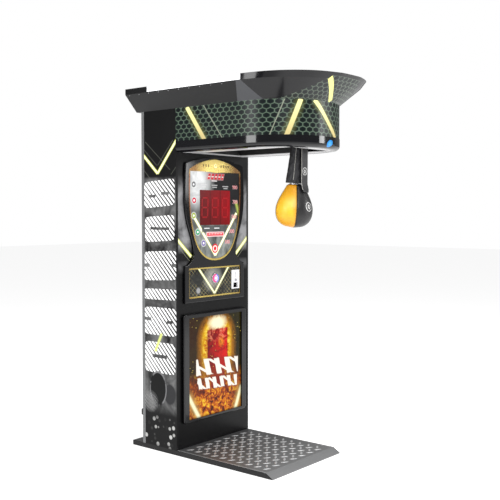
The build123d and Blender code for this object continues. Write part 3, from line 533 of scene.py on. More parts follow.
sidePrint = {
    "vee": ((0.300, 1.900), (0.161, 1.771), (-0.006, 1.972)),
    "hairlines": [((0.273, 1.975), (0.051, 1.791)), ((0.290, 1.800), (0.222, 1.734)),
                  ((-0.002, 1.808), (0.043, 1.761)), ((0.160, 1.822), (0.025, 1.973)),
                  ((0.283, 1.925), (0.168, 1.822))],
    # middle, size, slope and corner of each striped block
    "blocks": [((0.148, 1.645), (0.272, 0.166), 0.075), ((0.146, 1.424), (0.262, 0.160), 0.06),
               ((0.142, 1.190), (0.290, 0.184), 0.05), ((0.142, 1.008), (0.290, 0.068), 0.02),
               ((0.142, 0.836), (0.290, 0.176), 0.01), ((0.146, 0.604), (0.272, 0.196), 0.0)],
    "slots": [((0.212, 1.630), (0.062, 0.018)), ((0.096, 1.646), (0.070, 0.018)),
              ((0.144, 1.424), (0.170, 0.017)), ((0.270, 1.190), (0.07, 0.022)),
              ((0.010, 1.196), (0.06, 0.022)), ((0.255, 0.846), (0.06, 0.02)),
              ((0.060, 0.836), (0.05, 0.02)), ((0.150, 0.612), (0.130, 0.022))],
    "pitch": 0.034,
    "slash": ((0.130, 0.760), (0.190, 0.640)),
    "glove": (0.165, 0.405),
    "thumb": (0.060, 0.380),
    "fringe": (0.235, 0.315),
}


def sideFinish():
    made = Finish("printedSide", Specular_IOR_Level=0.15)
    depth = made.y - frontY
    up = made.z
    smoke = made.noise(5.0, 6.0, 0.6, bend=1.2)
    folds = made.noise(9.0, 3.0, 0.5, made.stretch((1, 1.6, 0.7)), bend=0.6)
    picture = up.under(1.742, 0.02) * up.over(0.27, 0.06)
    shade = (smoke.over(0.5, 0.35) * folds).clamped()
    colour = made.mix(picture * shade, tone(8, 8, 9), tone(150, 150, 150))
    for start, end in sidePrint["hairlines"]:
        colour = made.mix(stroke(depth, up, start, end, 0.0032), colour, tone(84, 86, 78))
    core, halo = vee(depth, up, *sidePrint["vee"], 0.021)
    colour = made.layers(colour, (halo, yellowEdge), (core, yellowCore))
    wave = (made.noise(2.5, 1.0) - 0.5) * 0.006
    count = (depth - up + wave) / sidePrint["pitch"] + 80
    dark = 0.24 + (0.283 - depth) * 0.75
    bars = count.math("FRACT").math("SUBTRACT", dark)
    bars = (bars / 0.05 + 0.5).clamped()
    blocks = None
    for middle, size, slope in sidePrint["blocks"]:
        dx = abs(depth - middle[0]) / (size[0] / 2)
        dz = abs(up - middle[1] + (depth - middle[0]) * slope) / (size[1] / 2)
        one = (dx ** 9.0 + dz ** 9.0).under(1.0, 0.05)
        blocks = one if blocks is None else blocks.most(one)
    for middle, size in sidePrint["slots"]:
        rough = (smoke - 0.5) * 0.02
        one = patch(depth, up + rough, middle, size, 0.003)
        blocks = blocks * (1 - one)
    faded = made.mix(folds * 0.25, tone(246, 246, 246), tone(190, 190, 190))
    colour = made.mix(blocks, colour, made.mix(bars, tone(10, 10, 10), faded))
    slash = stroke(depth, up, *sidePrint["slash"], 0.02, 0.006)
    colour = made.mix(slash, colour, tone(206, 214, 128))
    # a dark glove, its light rim and fringe
    off = offCentre(depth, up, sidePrint["glove"], 0.68)
    thumb = offCentre(depth, up, sidePrint["thumb"], 0.8)
    fringe = ((depth * 2.2 + up + folds * 0.03) * 260.0).math("SINE").over(0.35, 0.5)
    fringeAt = offCentre(depth, up, sidePrint["fringe"]).under(0.06, 0.03)
    colour = made.layers(
        colour,
        (thumb.under(0.052, 0.01), tone(44, 44, 46)),
        (off.under(0.075, 0.004), tone(5, 5, 6)),
        (abs(off - 0.072).under(0.004, 0.004) * smoke.over(0.45, 0.1), tone(120, 120, 122)),
        (fringe * fringeAt, tone(150, 150, 150)),
    )
    dots = made.cells(24.0, made.place(0.0, depth, up))
    bright = made.cells(24.0, made.place(0.0, depth, up), output="Color")
    value = made.node("ShaderNodeSeparateColor", {}, [bright], 0)
    bokeh = dots.under(0.32, 0.06) * (value ** 2.0) * up.within(0.045, 0.215, 0.06)
    colour = made.mix(bokeh, colour, tone(190, 190, 188))
    edge = depth.under(0.0012, 0.0004).most(abs(made.x).under(sideX - 0.001, 0.0004))
    colour = made.mix(edge, colour, tone(12, 12, 13))
    made.wear(0.4, 0.1)
    return made.printed(colour, 0.04)


def frontFinish():
    made = Finish("printedFront", Specular_IOR_Level=0.15)
    up = made.z
    across = abs(made.x)
    smoke = made.noise(5.0, 6.0, 0.62, bend=1.4)
    band = up.within(1.20, 1.70, 0.12)
    grey = made.mix(smoke.over(0.42, 0.4), tone(26, 26, 27), tone(150, 150, 152))
    colour = made.mix(band * 0.85, tone(6, 6, 7), grey)
    colour = made.mix(up.within(1.20, 1.29, 0.05), colour, tone(6, 6, 7))
    core = stroke(across, up, (0.345, 1.362), (0.215, 1.246), 0.014)
    edge = stroke(across, up, (0.345, 1.362), (0.215, 1.246), 0.024, 0.004)
    hair = stroke(across, up, (0.345, 1.325), (0.225, 1.215), 0.003)
    colour = made.layers(colour, (edge, yellowEdge), (core, yellowCore), (hair, tone(120, 122, 104)))
    made.wear(0.34, 0.1)
    return made.printed(colour, 0.04)


shieldPrint = {
    "vee": ((-0.196, 1.492), (0.0, 1.248), (0.212, 1.522)),
    "width": 0.022,
    "bars": [(-0.107, 1.697), (-0.005, 1.696), (0.101, 1.690)],
    "icons": {(-0.203, 1.703): tone(96, 98, 100), (-0.199, 1.602): tone(176, 34, 60),
              (-0.203, 1.506): tone(140, 156, 52), (-0.166, 1.401): tone(40, 140, 96),
              (-0.112, 1.329): tone(112, 100, 150)},
    "emblem": (-0.002, 1.292),
}


def shieldFinish():
    made = Finish("printedShield", Roughness=0.3, Emission_Strength=0.25, Specular_IOR_Level=0.12)
    across, up = made.x, made.z
    smoke = made.noise(7.0, 7.0, 0.6, bend=1.0)
    flow = made.noise(12.0, 5.0, 0.6, made.stretch((1.0, 1.0, 0.5)), bend=1.0)
    cloud = offCentre(across, up, (-0.165, 1.735), 0.8).under(0.10, 0.13)
    dark = made.mix(smoke, tone(6, 6, 7), tone(30, 30, 32))
    lower = up.under(1.46, 0.24)
    left = across.under(-0.15, 0.05) * up.over(1.50, 0.1)
    stone = made.mix(flow.over(0.48, 0.35), tone(26, 30, 28), tone(150, 154, 150))
    colour = made.layers(dark, (lower * 0.8, stone), (left * flow, tone(120, 120, 120)),
                         (cloud * smoke.over(0.36, 0.4), tone(222, 224, 224)))
    rays = stroke(across, up, (0.205, 1.60), (0.243, 1.50), 0.02, 0.02)
    colour = made.mix(rays * 0.8, colour, tone(176, 190, 84))
    core, edge = vee(across, up, *shieldPrint["vee"], shieldPrint["width"])
    colour = made.layers(colour, (edge * 0.8, tone(198, 200, 130)), (core, tone(250, 250, 214)))
    dashes = patch(across, up, (-0.08, 1.424), (0.05, 0.006))
    dashes = dashes.most(patch(across, up, (0.015, 1.424), (0.05, 0.006)))
    marks = (across * 420.0).math("SINE").over(0.0, 0.6)
    marks = marks * patch(across, up, (0.0, 1.387), (0.140, 0.007), 0.003)
    colour = made.layers(
        colour,
        (patch(across, up, (-0.012, 1.419), (0.234, 0.044), 0.004) * 0.8, tone(66, 68, 68)),
        (dashes, tone(206, 206, 206)),
        (patch(across, up, (0.0, 1.385), (0.168, 0.030), 0.006), tone(236, 200, 200)),
        (patch(across, up, (0.0, 1.385), (0.158, 0.020), 0.003), tone(196, 24, 40)),
        (marks, tone(246, 214, 214)),
    )
    slant = across - (up - 1.757) * 0.35
    slashes = (slant * 190.0).math("SINE").over(-0.35, 0.3)
    title = abs(slant).under(0.080, 0.003) * up.within(1.740, 1.776, 0.003)
    halo = abs(slant).under(0.086, 0.004) * up.within(1.735, 1.781, 0.004)
    colour = made.layers(colour, (halo * 0.55, tone(196, 150, 150)), (title * slashes, tone(198, 26, 40)),
                         (title * slashes * up.within(1.754, 1.760, 0.002), tone(250, 220, 220)))
    for middle in shieldPrint["bars"]:
        for drop in (0.0, 0.013):
            ticks = (across * 520.0).math("SINE").over(-0.5, 0.8)
            row = patch(across, up, (middle[0], middle[1] + 0.006 - drop), (0.056 - drop, 0.006), 0.002)
            colour = made.mix(row * ticks, colour, tone(196, 196, 196))
    colour = made.mix(patch(across, up, (-0.009, 1.730), (0.052, 0.007), 0.002), colour, tone(210, 204, 204))
    for middle, hue in shieldPrint["icons"].items():
        off = offCentre(across, up, middle)
        colour = made.layers(
            colour,
            (off.under(0.024, 0.004) * 0.7, tone(196, 198, 196)),
            (off.under(0.018, 0.003), hue),
            (off.under(0.007, 0.002), tone(235, 235, 235)),
        )
    off = offCentre(across, up, shieldPrint["emblem"])
    colour = made.layers(
        colour,
        (off.under(0.030, 0.003), tone(190, 26, 38)),
        (off.under(0.021, 0.002), tone(234, 214, 210)),
        (off.under(0.013, 0.002), tone(196, 34, 44)),
    )
    return made.printed(colour, 0.03, True)


def displayFinish():
    made = Finish("redDisplay", Emission_Strength=0.35, Specular_IOR_Level=0.15)
    up = made.z - 1.5575
    # painted shade: the red window is darker on the left and towards the lower left, lighter on the right
    shade = made.mix(made.x.over(0.0, 0.30), tone(82, 8, 12), tone(128, 4, 14))
    shade = made.mix((up + made.x * 0.5).under(-0.02, 0.12) * 0.6, shade, tone(70, 10, 10))
    segments = None
    for middle in (-0.098, 0.0, 0.098):
        dx = abs(made.x - middle + up * -0.04)
        dz = abs(up)
        posts = abs(dx - 0.027).under(0.0045) * abs(dz - 0.031).under(0.025)
        bars = dx.under(0.022) * (dz.under(0.0045).most(abs(dz - 0.062).under(0.0045)))
        one = posts.most(bars)
        segments = one if segments is None else segments.most(one)
    gaps = abs(abs(made.x) - 0.049).under(0.0022)
    dots = made.cells(210.0, randomness=0.0).under(0.4, 0.2)
    colour = made.layers(shade, (gaps, tone(46, 6, 8)), (segments * (dots * 0.25 + 0.25), tone(178, 22, 30)))
    made.feed("Base Color", colour)
    made.feed("Emission Color", colour)
    made.wear(0.22, 0.06)
    return made.material


coinPrint = {"vee": ((-0.166, 1.180), (-0.003, 1.000), (0.146, 1.180)), "width": 0.018,
             "disc": (-0.158, 1.026)}


def coinFinish():
    made = Finish("printedCoin", Roughness=0.28, Specular_IOR_Level=0.2)
    across, up = made.x, made.z
    smoke = made.noise(8.0, 6.0, 0.6, bend=1.0)
    colour = made.mix(smoke.over(0.5, 0.4) * 0.5, tone(8, 8, 8), tone(74, 76, 72))
    streaks = ((across * 0.9 + up + smoke * 0.02) * 230.0).math("SINE").over(0.93, 0.08)
    counter = ((across * -0.9 + up + smoke * 0.02) * 190.0).math("SINE").over(0.93, 0.08)
    lit = made.noise(10.0, 3.0).over(0.5, 0.2)
    colour = made.layers(colour, (streaks * lit * 0.7, tone(176, 150, 92)),
                         (counter * lit * 0.6, tone(150, 156, 120)))
    glow = offCentre(across, up, (-0.02, 1.10)).under(0.06, 0.08)
    colour = made.mix(glow * smoke, colour, tone(196, 198, 190))
    core, edge = vee(across, up, *coinPrint["vee"], coinPrint["width"])
    colour = made.layers(colour, (edge * 0.8, tone(180, 184, 110)), (core, tone(246, 246, 206)))
    off = offCentre(across, up, coinPrint["disc"])
    colour = made.layers(colour, (off.under(0.024, 0.003) * 0.7, tone(96, 98, 98)),
                         (off.under(0.017, 0.003), tone(150, 150, 150)))
    return made.printed(colour, 0.03)


posterPrint = {
    # middle, height, lean, angle per metre, half width and first angle of each row of strokes
    "rows": [(0.520, 0.104, 0.30, 62.0, 0.205, 0.0), (0.414, 0.072, 0.22, 88.0, 0.195, 2.1)],
    "beams": [((-0.262, 0.372), (-0.150, 0.196)), ((0.264, 0.352), (0.196, 0.196))],
    "tilt": 0.07,
    "middle": 0.022,
}


def posterFinish():
    made = Finish("litPoster", Roughness=0.25, Emission_Strength=0.95, Specular_IOR_Level=0.12)
    across, up = made.x, made.z
    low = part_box("poster_panel")[0].z
    wisp = made.noise(9.0, 7.0, 0.62, bend=1.6)
    lick = made.noise(26.0, 6.0, 0.7, bend=1.2)
    fine = made.noise(60.0, 4.0, 0.7)
    ground = made.mix(wisp.over(0.45, 0.4), tone(8, 9, 5), tone(52, 46, 12))
    ground = made.mix(across.under(-0.12, 0.2) * up.over(0.55, 0.3) * 0.6, ground, tone(60, 26, 8))
    # the flames stand in an arch round the glove
    bend = (lick - 0.5) * 0.07
    dx = abs(across - 0.015)
    dz = (up - 0.700).most(0.0)
    arch = (dx * dx + dz * dz) ** 0.5 + bend
    ringGap = arch.under(0.112, 0.02) * up.over(0.47, 0.05)
    flame = arch.under(0.155, 0.09) * up.over(0.46, 0.2)
    heart = arch.under(0.128, 0.05) * up.over(0.52, 0.2)
    white = offCentre(across, up + bend * 0.9, (0.02, 0.805), 1.7).under(0.075, 0.06)
    colour = made.layers(
        ground,
        (flame * lick.over(0.44, 0.2), tone(236, 150, 8)),
        (heart, tone(250, 206, 8)),
        (heart * lick.over(0.54, 0.06), tone(255, 244, 110)),
        (heart * lick.under(0.45, 0.05), tone(206, 120, 4)),
        (ringGap * 0.6, tone(170, 60, 6)),
        (white, tone(255, 250, 214)),
    )
    # the fire below
    below = up.under(0.46, 0.08)
    fire = made.ramp(lick * 0.7 + wisp * 0.45, (0.46, tone(36, 12, 3)), (0.54, tone(140, 46, 6)),
                     (0.61, tone(228, 120, 10)), (0.70, tone(255, 214, 50)))
    side = abs(across).over(0.17, 0.10)
    fire = made.mix(side * 0.55, fire, tone(132, 62, 18))
    colour = made.mix(below * 0.92, colour, fire)
    # a red glove, knuckles up
    gloveX = abs(across - 0.022 + bend * 0.12)
    glove = gloveX.under(0.098, 0.006) * (up + bend * 0.25).under(0.765, 0.01) * up.over(0.50, 0.03)
    wrist = gloveX.under(0.070, 0.01) * up.within(0.38, 0.52, 0.02)
    shade = made.mix(across.over(0.0, 0.2), tone(120, 4, 8), tone(220, 18, 10))
    shine = offCentre(across, up, (0.060, 0.675), 0.8).under(0.012, 0.05)
    knuckle = lick.over(0.55, 0.15) * up.within(0.690, 0.765, 0.03)
    red = made.layers(shade, (knuckle * 0.7, tone(240, 150, 110)), (shine, tone(252, 168, 28)),
                      (lick.under(0.46, 0.05) * 0.6, tone(70, 2, 6)),
                      (fine.over(0.6, 0.1) * 0.35, tone(90, 4, 8)))
    colour = made.layers(colour, (wrist * 0.8, tone(150, 14, 14)), (glove, red))
    # two rows of rough white brush strokes
    centred = abs(across - posterPrint["middle"])
    for middle, height, lean, count, reach, seed in posterPrint["rows"]:
        tilt = up - middle + across * posterPrint["tilt"]
        wobble = (made.noise(34.0, 3.0) - 0.5) * 0.016
        slant = across + tilt * lean + wobble * 0.6
        teeth = (slant * count + seed).math("SINE").over(0.05, 0.25)
        cross = ((slant * count * 0.5 + tilt * 60.0 + seed).math("SINE")).over(0.82, 0.12)
        band = abs(tilt + wobble).under(height / 2, 0.006) * centred.under(reach, 0.004)
        marks = band * teeth.most(cross)
        shadow = abs(tilt + wobble).under(height / 2 + 0.008, 0.014) * centred.under(reach + 0.006, 0.01)
        colour = made.layers(colour, (shadow * 0.35, tone(96, 30, 10)), (marks, tone(255, 250, 238)))
    for start, end in posterPrint["beams"]:
        beam = stroke(across, up, start, end, 0.050, 0.05)
        core = stroke(across, up, start, end, 0.026, 0.014)
        colour = made.layers(colour, (beam * 0.6, tone(236, 200, 110)), (core, tone(255, 252, 206)))
    sparks = made.cells(46.0).under(0.13, 0.05) * wisp.over(0.5, 0.1) * up.over(0.50, 0.1)
    colour = made.mix(sparks, colour, tone(255, 226, 110))
    # painted shade: a darker band along the poster's edges where it meets the raised frame
    rim = abs(across).over(0.249, 0.02).most(up.over(0.850, 0.02)).most(up.under(low + 0.006, 0.012))
    colour = made.mix(rim * 0.5, colour, tone(20, 18, 10))
    made.feed("Base Color", made.mix(0.9, colour, tone(0, 0, 0)))
    made.feed("Emission Color", colour)
    return made.material


sticker = {"middle": (0.020, 1.926), "half": (0.030, 0.020), "lean": 0.25}


def lipFinish():
    made = Finish("glossLip", Specular_IOR_Level=0.5)
    smear = made.noise(7.0, 6.0, 0.65)
    across = made.x - sticker["middle"][0]
    tilt = made.z - sticker["middle"][1] - across * sticker["lean"]
    off = (across / sticker["half"][0]) ** 2.0 + (tilt / sticker["half"][1]) ** 2.0
    oval = off.under(1.0, 0.08) * made.y.under(-0.5, 0.01)
    colour = made.mix(smear * 0.5, tone(9, 9, 13), tone(5, 5, 8))
    # painted highlight: a paler blue middle on the sticker
    glint = off.under(0.35, 0.2) * oval * 0.5
    colour = made.layers(colour, (oval, tone(36, 132, 206)), (glint, tone(96, 176, 230)))
    made.feed("Base Color", colour)
    made.feed("Roughness", smear * 0.08 + 0.05)
    made.bump(made.noise(5.0, 2.0), 0.03, 0.002)
    return made.material


lensMiddle = (0.0, 1.098)


def lensFinish():
    made = Finish("startLens", Roughness=0.15, Emission_Strength=0.5)
    off = offCentre(made.x, made.z, lensMiddle)
    facets = (made.x * 900.0).math("SINE") * (made.z * 900.0).math("SINE")
    hues = made.mix(made.x.over(0.002, 0.012), tone(206, 30, 110), tone(48, 96, 196))
    colour = made.layers(hues, (off.within(0.014, 0.018, 0.002), tone(226, 190, 226)),
                         (off.under(0.009, 0.003), tone(250, 236, 246)),
                         (facets.over(0.5, 0.4) * 0.2, tone(255, 255, 255)))
    made.feed("Base Color", colour)
    made.feed("Emission Color", colour)
    return made.material


finishes["printed_skirt"] = skirtFinish()
finishes["printed_side"] = sideFinish()
finishes["printed_front"] = frontFinish()
finishes["printed_shield"] = shieldFinish()
finishes["red_display"] = displayFinish()
finishes["printed_coin"] = coinFinish()
finishes["lit_poster"] = posterFinish()
finishes["start_lens"] = lensFinish()
print("prints made")

# leather

arm = {
    "lean": atan2(0.036, 0.475),
    "ballProfile": [(0.3434, 0.050), (0.4014, 0.082), (0.4444, 0.102), (0.4884, 0.1135), (0.5504, 0.104),
                    (0.5914, 0.062), (0.6034, 0.0)],
    "sleeve": (0.102, 0.3354),
    "ballRing": 0.470,         # distances down the arm of the two ring marks
    "strapRing": 0.262,
}
armDown = Vector((0, sin(arm["lean"]), -cos(arm["lean"])))
armFore = Vector((0, -cos(arm["lean"]), -sin(arm["lean"])))      # towards the player


def armPoint(side, fore, along):
    return pivot + Vector((side, 0, 0)) + armFore * fore + armDown * along


def leatherBump(made, seams=None):
    grain = made.cells(330.0, feature="DISTANCE_TO_EDGE").under(0.16, 0.2)
    creases = made.noise(38.0, 5.0, 0.6, bend=0.8)
    height = creases * 0.7 - grain * 0.35
    made.bump(height if seams is None else height - seams, 0.22, 0.0012)
    return grain, creases


def ballFinish():
    made = Finish("ballLeather", Specular_IOR_Level=0.45, Coat_Weight=0.12, Coat_Roughness=0.3)
    side = made.x
    fore = made.toward(tuple(armFore), tuple(pivot))
    along = made.toward(tuple(armDown), tuple(pivot))
    yellow = (abs(side) - abs(fore)).over(0.0, 0.0008)
    gap = abs(abs(side) - abs(fore))
    seam = gap.under(0.0022, 0.001)
    stitches = abs(gap - 0.0062).under(0.0008) * (along * 900.0).math("SINE").over(0.0, 0.4)
    grain, creases = leatherBump(made, seam * 2.0)
    # painted shade: the gold is darkened near the seams and towards the ball's top and bottom
    ends = abs(along - 0.478).over(0.075, 0.10)
    edge = gap.under(0.02, 0.05).most(ends)
    gold = made.mix(edge * 0.8, tone(244, 186, 36), tone(196, 128, 14))
    gold = made.mix(creases.over(0.55, 0.3) * 0.2, gold, tone(176, 108, 8))
    # painted highlight: a pale spot on the gold gore at negative x, towards the player
    shine = offCentre(fore, along, (0.035, 0.455), 0.9).under(0.015, 0.06)
    gold = made.mix(shine * made.x.under(0.0, 0.01) * 0.55, gold, tone(255, 236, 140))
    black = made.mix(creases * 0.4, tone(21, 20, 22), tone(12, 12, 13))
    colour = made.mix(yellow, black, gold)
    up = along - arm["ballRing"]
    off = (side * side + up * up) ** 0.5
    player = fore.over(0.03, 0.002)
    ring = abs(off - 0.025).under(0.002) * player
    mark = (abs(side) + abs(up) * 0.8).under(0.013, 0.001) * (off.over(0.006)) * player
    colour = made.layers(colour, (seam, tone(14, 12, 10)), (stitches * 0.55, tone(120, 96, 50)),
                         (ring.most(mark), tone(206, 206, 204)))
    made.feed("Base Color", colour)
    made.feed("Roughness", creases * 0.16 + 0.30 + grain * 0.08)
    return made.material


def sleeveFinish():
    made = Finish("blackLeather", Specular_IOR_Level=0.4)
    grain, creases = leatherBump(made)
    made.feed("Base Color", made.mix(creases.over(0.5, 0.4), tone(15, 15, 17), tone(30, 30, 34)))
    made.feed("Roughness", creases * 0.2 + 0.36 + grain * 0.1)
    return made.material


def strapFinish():
    made = Finish("strapLeather", Specular_IOR_Level=0.4)
    along = made.toward(tuple(armDown), tuple(pivot))
    grain, creases = leatherBump(made)
    up = along - arm["strapRing"]
    off = (made.x * made.x + up * up) ** 0.5
    ring = abs(off - 0.0215).under(0.0018)
    mark = (abs(made.x) + abs(up) * 0.8).under(0.011, 0.001) * off.over(0.005)
    stitch = abs(abs(made.x) - 0.0255).under(0.0007) * (along * 800.0).math("SINE").over(0.0, 0.4)
    leather = made.mix(creases, tone(17, 17, 19), tone(28, 28, 31))
    colour = made.layers(leather, (ring.most(mark), tone(196, 196, 194)),
                         (stitch, tone(110, 110, 108)))
    made.feed("Base Color", colour)
    made.feed("Roughness", creases * 0.2 + 0.34 + grain * 0.1)
    return made.material


finishes["ball_leather"] = ballFinish()
finishes["black_leather"] = sleeveFinish()
strapLeather = strapFinish()
pipingFinish = plasticFinish("paleCord", tone(168, 166, 160), 0.6, 500.0, 0.3)
darkCord = plasticFinish("darkCord", tone(20, 18, 16), 0.5, 500.0, 0.3)

# every CAD piece gets its finish

special = {"head_lip": lipFinish(), "visor": visorFinish()}
slots = {part["node"]: part["material_slot"] for part in frame["record"]["subparts"]}
for name, node in frame["nodes"].items():
    node.data.materials.clear()
    node.data.materials.append(special.get(name, finishes[slots[name]]))
print("carried pieces finished")

# the punch ball

ball = {"rings": 56, "segments": 96, "voxel": 0.005, "pressure": 4.0, "cap": 0.005, "shrink": 0.975,
        "neck": 0.35, "seam": 0.0028, "seamSpread": 0.0035, "crown": 0.0015, "fill": 0.95}


def profileRadius(points, at):
    # a smooth curve through the profile's points
    for k in range(len(points) - 1):
        if at <= points[k + 1][0] or k == len(points) - 2:
            before = points[max(k - 1, 0)]
            here, there = points[k], points[k + 1]
            after = points[min(k + 2, len(points) - 1)]
            t = min(max((at - here[0]) / (there[0] - here[0]), 0.0), 1.0)
            m0 = (there[1] - before[1]) / (there[0] - before[0]) * (there[0] - here[0])
            m1 = (after[1] - here[1]) / (after[0] - here[0]) * (there[0] - here[0])
            return ((2 * t ** 3 - 3 * t ** 2 + 1) * here[1] + (t ** 3 - 2 * t ** 2 + t) * m0
                    + (-2 * t ** 3 + 3 * t ** 2) * there[1] + (t ** 3 - t ** 2) * m1)


def makeBall():
    profile = arm["ballProfile"]
    start, end = profile[0][0], profile[-1][0]
    middle, half = (start + end) / 2, (end - start) / 2
    clearSelection()
    bpy.ops.mesh.primitive_uv_sphere_add(segments=ball["segments"], ring_count=ball["rings"], radius=1.0)
    made = bpy.context.object
    for vertex in made.data.vertices:
        x, y, z = vertex.co
        along = middle - half * z
        level = hypot(x, y)
        angle = atan2(y, x)
        radius = max(profileRadius(profile, along), 0.0) if level > 1e-5 else 0.0
        if z > 0 and level < ball["neck"]:      # the closed neck
            radius = profile[0][1] * level / ball["neck"]
            along = start
        radius *= ball["shrink"]
        vertex.co = armPoint(radius * cos(angle), radius * sin(angle), along)
    return made


def inflate(piece, settings):
    # a pressure simulation that crowns the leather, with each point's travel capped
    applyModifier(piece, "REMESH", mode="VOXEL", voxel_size=settings["voxel"])
    before = [vertex.co.copy() for vertex in piece.data.vertices]
    cloth = piece.modifiers.new("cloth", "CLOTH")
    cloth.settings.use_pressure = True
    cloth.settings.uniform_pressure_force = settings["pressure"]
    cloth.settings.effector_weights.gravity = 0.0
    cloth.point_cache.frame_start = 1
    cloth.point_cache.frame_end = 20
    for step in range(1, 21):
        bpy.context.scene.frame_set(step)
    pick(piece)
    bpy.ops.object.modifier_apply(modifier=cloth.name)
    bpy.context.scene.frame_set(1)
    for vertex, was in zip(piece.data.vertices, before):
        step = vertex.co - was
        if step.length > settings["cap"]:
            vertex.co = was + step * (settings["cap"] / step.length)
    applyModifier(piece, "SMOOTH", factor=0.5, iterations=6)
    applyModifier(piece, "SUBSURF", levels=1, render_levels=1)


def armCoordinates(place):
    offset = place - pivot
    return offset.x, offset.dot(armFore), offset.dot(armDown)


padBall = makeBall()
inflate(padBall, ball)
for vertex in padBall.data.vertices:            # the gores' seams, drawn in between the crowns
    side, fore, along = armCoordinates(vertex.co)
    radius = hypot(side, fore)
    gap = abs(abs(side) - abs(fore)) / 1.4142
    crown = 1 - (gap / max(radius * 0.7071, 1e-4) - 1) ** 2 if radius > 0.001 else 0
    pull = ball["seam"] * exp(-((gap / ball["seamSpread"]) ** 2))
    scale = (radius - pull + ball["crown"] * crown) / radius if radius > 0.004 else 1.0
    vertex.co = armPoint(side * scale, fore * scale, along)
smooth(padBall, 60)
dress(padBall, "ballGores", finishes["ball_leather"], "arm")
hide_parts("punch_ball")
print("ball made", len(padBall.data.polygons), "faces")


def cordAlong(points, radius, name):
    clearSelection()
    curve = bpy.data.curves.new(name, "CURVE")
    curve.dimensions = "3D"
    curve.bevel_depth = radius
    curve.bevel_resolution = 2
    curve.use_fill_caps = True
    spline = curve.splines.new("NURBS")
    spline.points.add(len(points) - 1)
    for place, target in zip(spline.points, points):
        place.co = (*target, 1.0)
    spline.order_u = 3
    spline.use_endpoint_u = True
    made = bpy.data.objects.new(name, curve)
    bpy.context.scene.collection.objects.link(made)
    pick(made)
    bpy.ops.object.convert(target="MESH")
    made = bpy.context.object
    smooth(made, 60)
    return made


piping = {"pale": 0.0016, "dark": 0.0014, "seam": 0.0015, "from": 0.350, "to": 0.596, "sunk": 0.0012,
          "steps": 14}


def ballPiping(quarter, radius, name, finish):
    sideSign, foreSign = quarter
    points = []
    for k in range(piping["steps"] + 1):
        along = piping["from"] + (piping["to"] - piping["from"]) * k / piping["steps"]
        reach = (profileRadius(arm["ballProfile"], along) - piping["sunk"]) * 0.7071
        points.append(armPoint(sideSign * reach, foreSign * reach, along))
    cord = cordAlong(points, radius, name)
    dress(cord, name, finish, "arm")


ballPiping((1, 1), piping["pale"], "pipingRight", pipingFinish)
ballPiping((-1, -1), piping["pale"], "pipingRear", pipingFinish)
ballPiping((-1, 1), piping["dark"], "pipingLeft", darkCord)
ballPiping((1, -1), piping["dark"], "pipingBack", darkCord)

# the padded sleeve, its strap and edging

sleeve = {"rings": 64, "segments": 72, "folds": 0.0022, "fill": 0.5, "cap": 0.08, "corner": 2.6,
          "inside": 0.97, "top": (0.0445, 0.0425), "foot": (0.0665, 0.0565), "flare": 1.6,
          "seam": (0.90, 0.42)}


def sleeveSection(share):
    # half sizes across and fore-and-aft: straight above, flared over the ball's neck
    flare = share ** sleeve["flare"]
    return [top + (foot - top) * flare for top, foot in zip(sleeve["top"], sleeve["foot"])]


def makeSleeve():
    start, end = arm["sleeve"]
    clearSelection()
    bpy.ops.mesh.primitive_uv_sphere_add(segments=sleeve["segments"], ring_count=sleeve["rings"], radius=1.0)
    made = bpy.context.object
    cap, corner = sleeve["cap"], sleeve["corner"]
    for vertex in made.data.vertices:
        x, y, z = vertex.co
        angle = atan2(y, x)
        turn = acos(max(-1.0, min(1.0, z))) / pi
        share = min(max((turn - cap) / (1 - 2 * cap), 0.0), 1.0)
        level = min(turn / cap, (1 - turn) / cap, 1.0)
        across, deep = sleeveSection(share)
        ripple = sleeve["folds"] * (sin(9 * angle + 3 * share) * share + sin(26 * share + 2 * angle) * 0.6)
        square = sleeve["inside"] / (abs(cos(angle)) ** corner + abs(sin(angle)) ** corner) ** (1 / corner)
        reachX = max(across * square - abs(ripple), 0) * level
        reachY = max(deep * square - abs(ripple), 0) * level
        vertex.co = armPoint(reachX * cos(angle), reachY * sin(angle), start + (end - start) * share)
    faceOutwards(made)                          # the arm's frame mirrors the primitive
    return made


padSleeve = makeSleeve()
smooth(padSleeve, 60)
dress(padSleeve, "sleevePad", finishes["black_leather"], "arm")
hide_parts("arm_sleeve")

strap = {"half": 0.030, "thick": 0.0036, "line": [(0.104, 0.0472), (0.335, 0.0632), (0.3864, 0.0805)],
         "rise": 0.0012, "ripple": 0.0006, "edging": (0.106, 0.372), "inset": 0.0006}


def strapFore(along):
    points = strap["line"]
    for k in range(len(points) - 1):
        if along <= points[k + 1][0] or k == len(points) - 2:
            (a0, f0), (a1, f1) = points[k], points[k + 1]
            return f0 + (f1 - f0) * (along - a0) / (a1 - a0)


def makeStrap():
    start, end = strap["line"][0][0], strap["line"][-1][0]
    clearSelection()
    bpy.ops.mesh.primitive_grid_add(x_subdivisions=16, y_subdivisions=60, size=2.0)
    made = bpy.context.object
    for vertex in made.data.vertices:
        x, y, _ = vertex.co
        share = (1 - y) / 2
        along = start + (end - start) * share
        corner = max(0.0, (share - 0.9) / 0.1)
        half = strap["half"] * (1 - 0.28 * corner ** 2)
        ripple = strap["ripple"] * sin(share * 40) * (1 - abs(x))
        vertex.co = armPoint(x * half, strapFore(along) + strap["rise"] + ripple, along)
    applyModifier(made, "SOLIDIFY", thickness=strap["thick"], offset=0.0)
    faceOutwards(made)
    applyModifier(made, "BEVEL", width=0.0009, segments=2, limit_method="ANGLE")
    return made


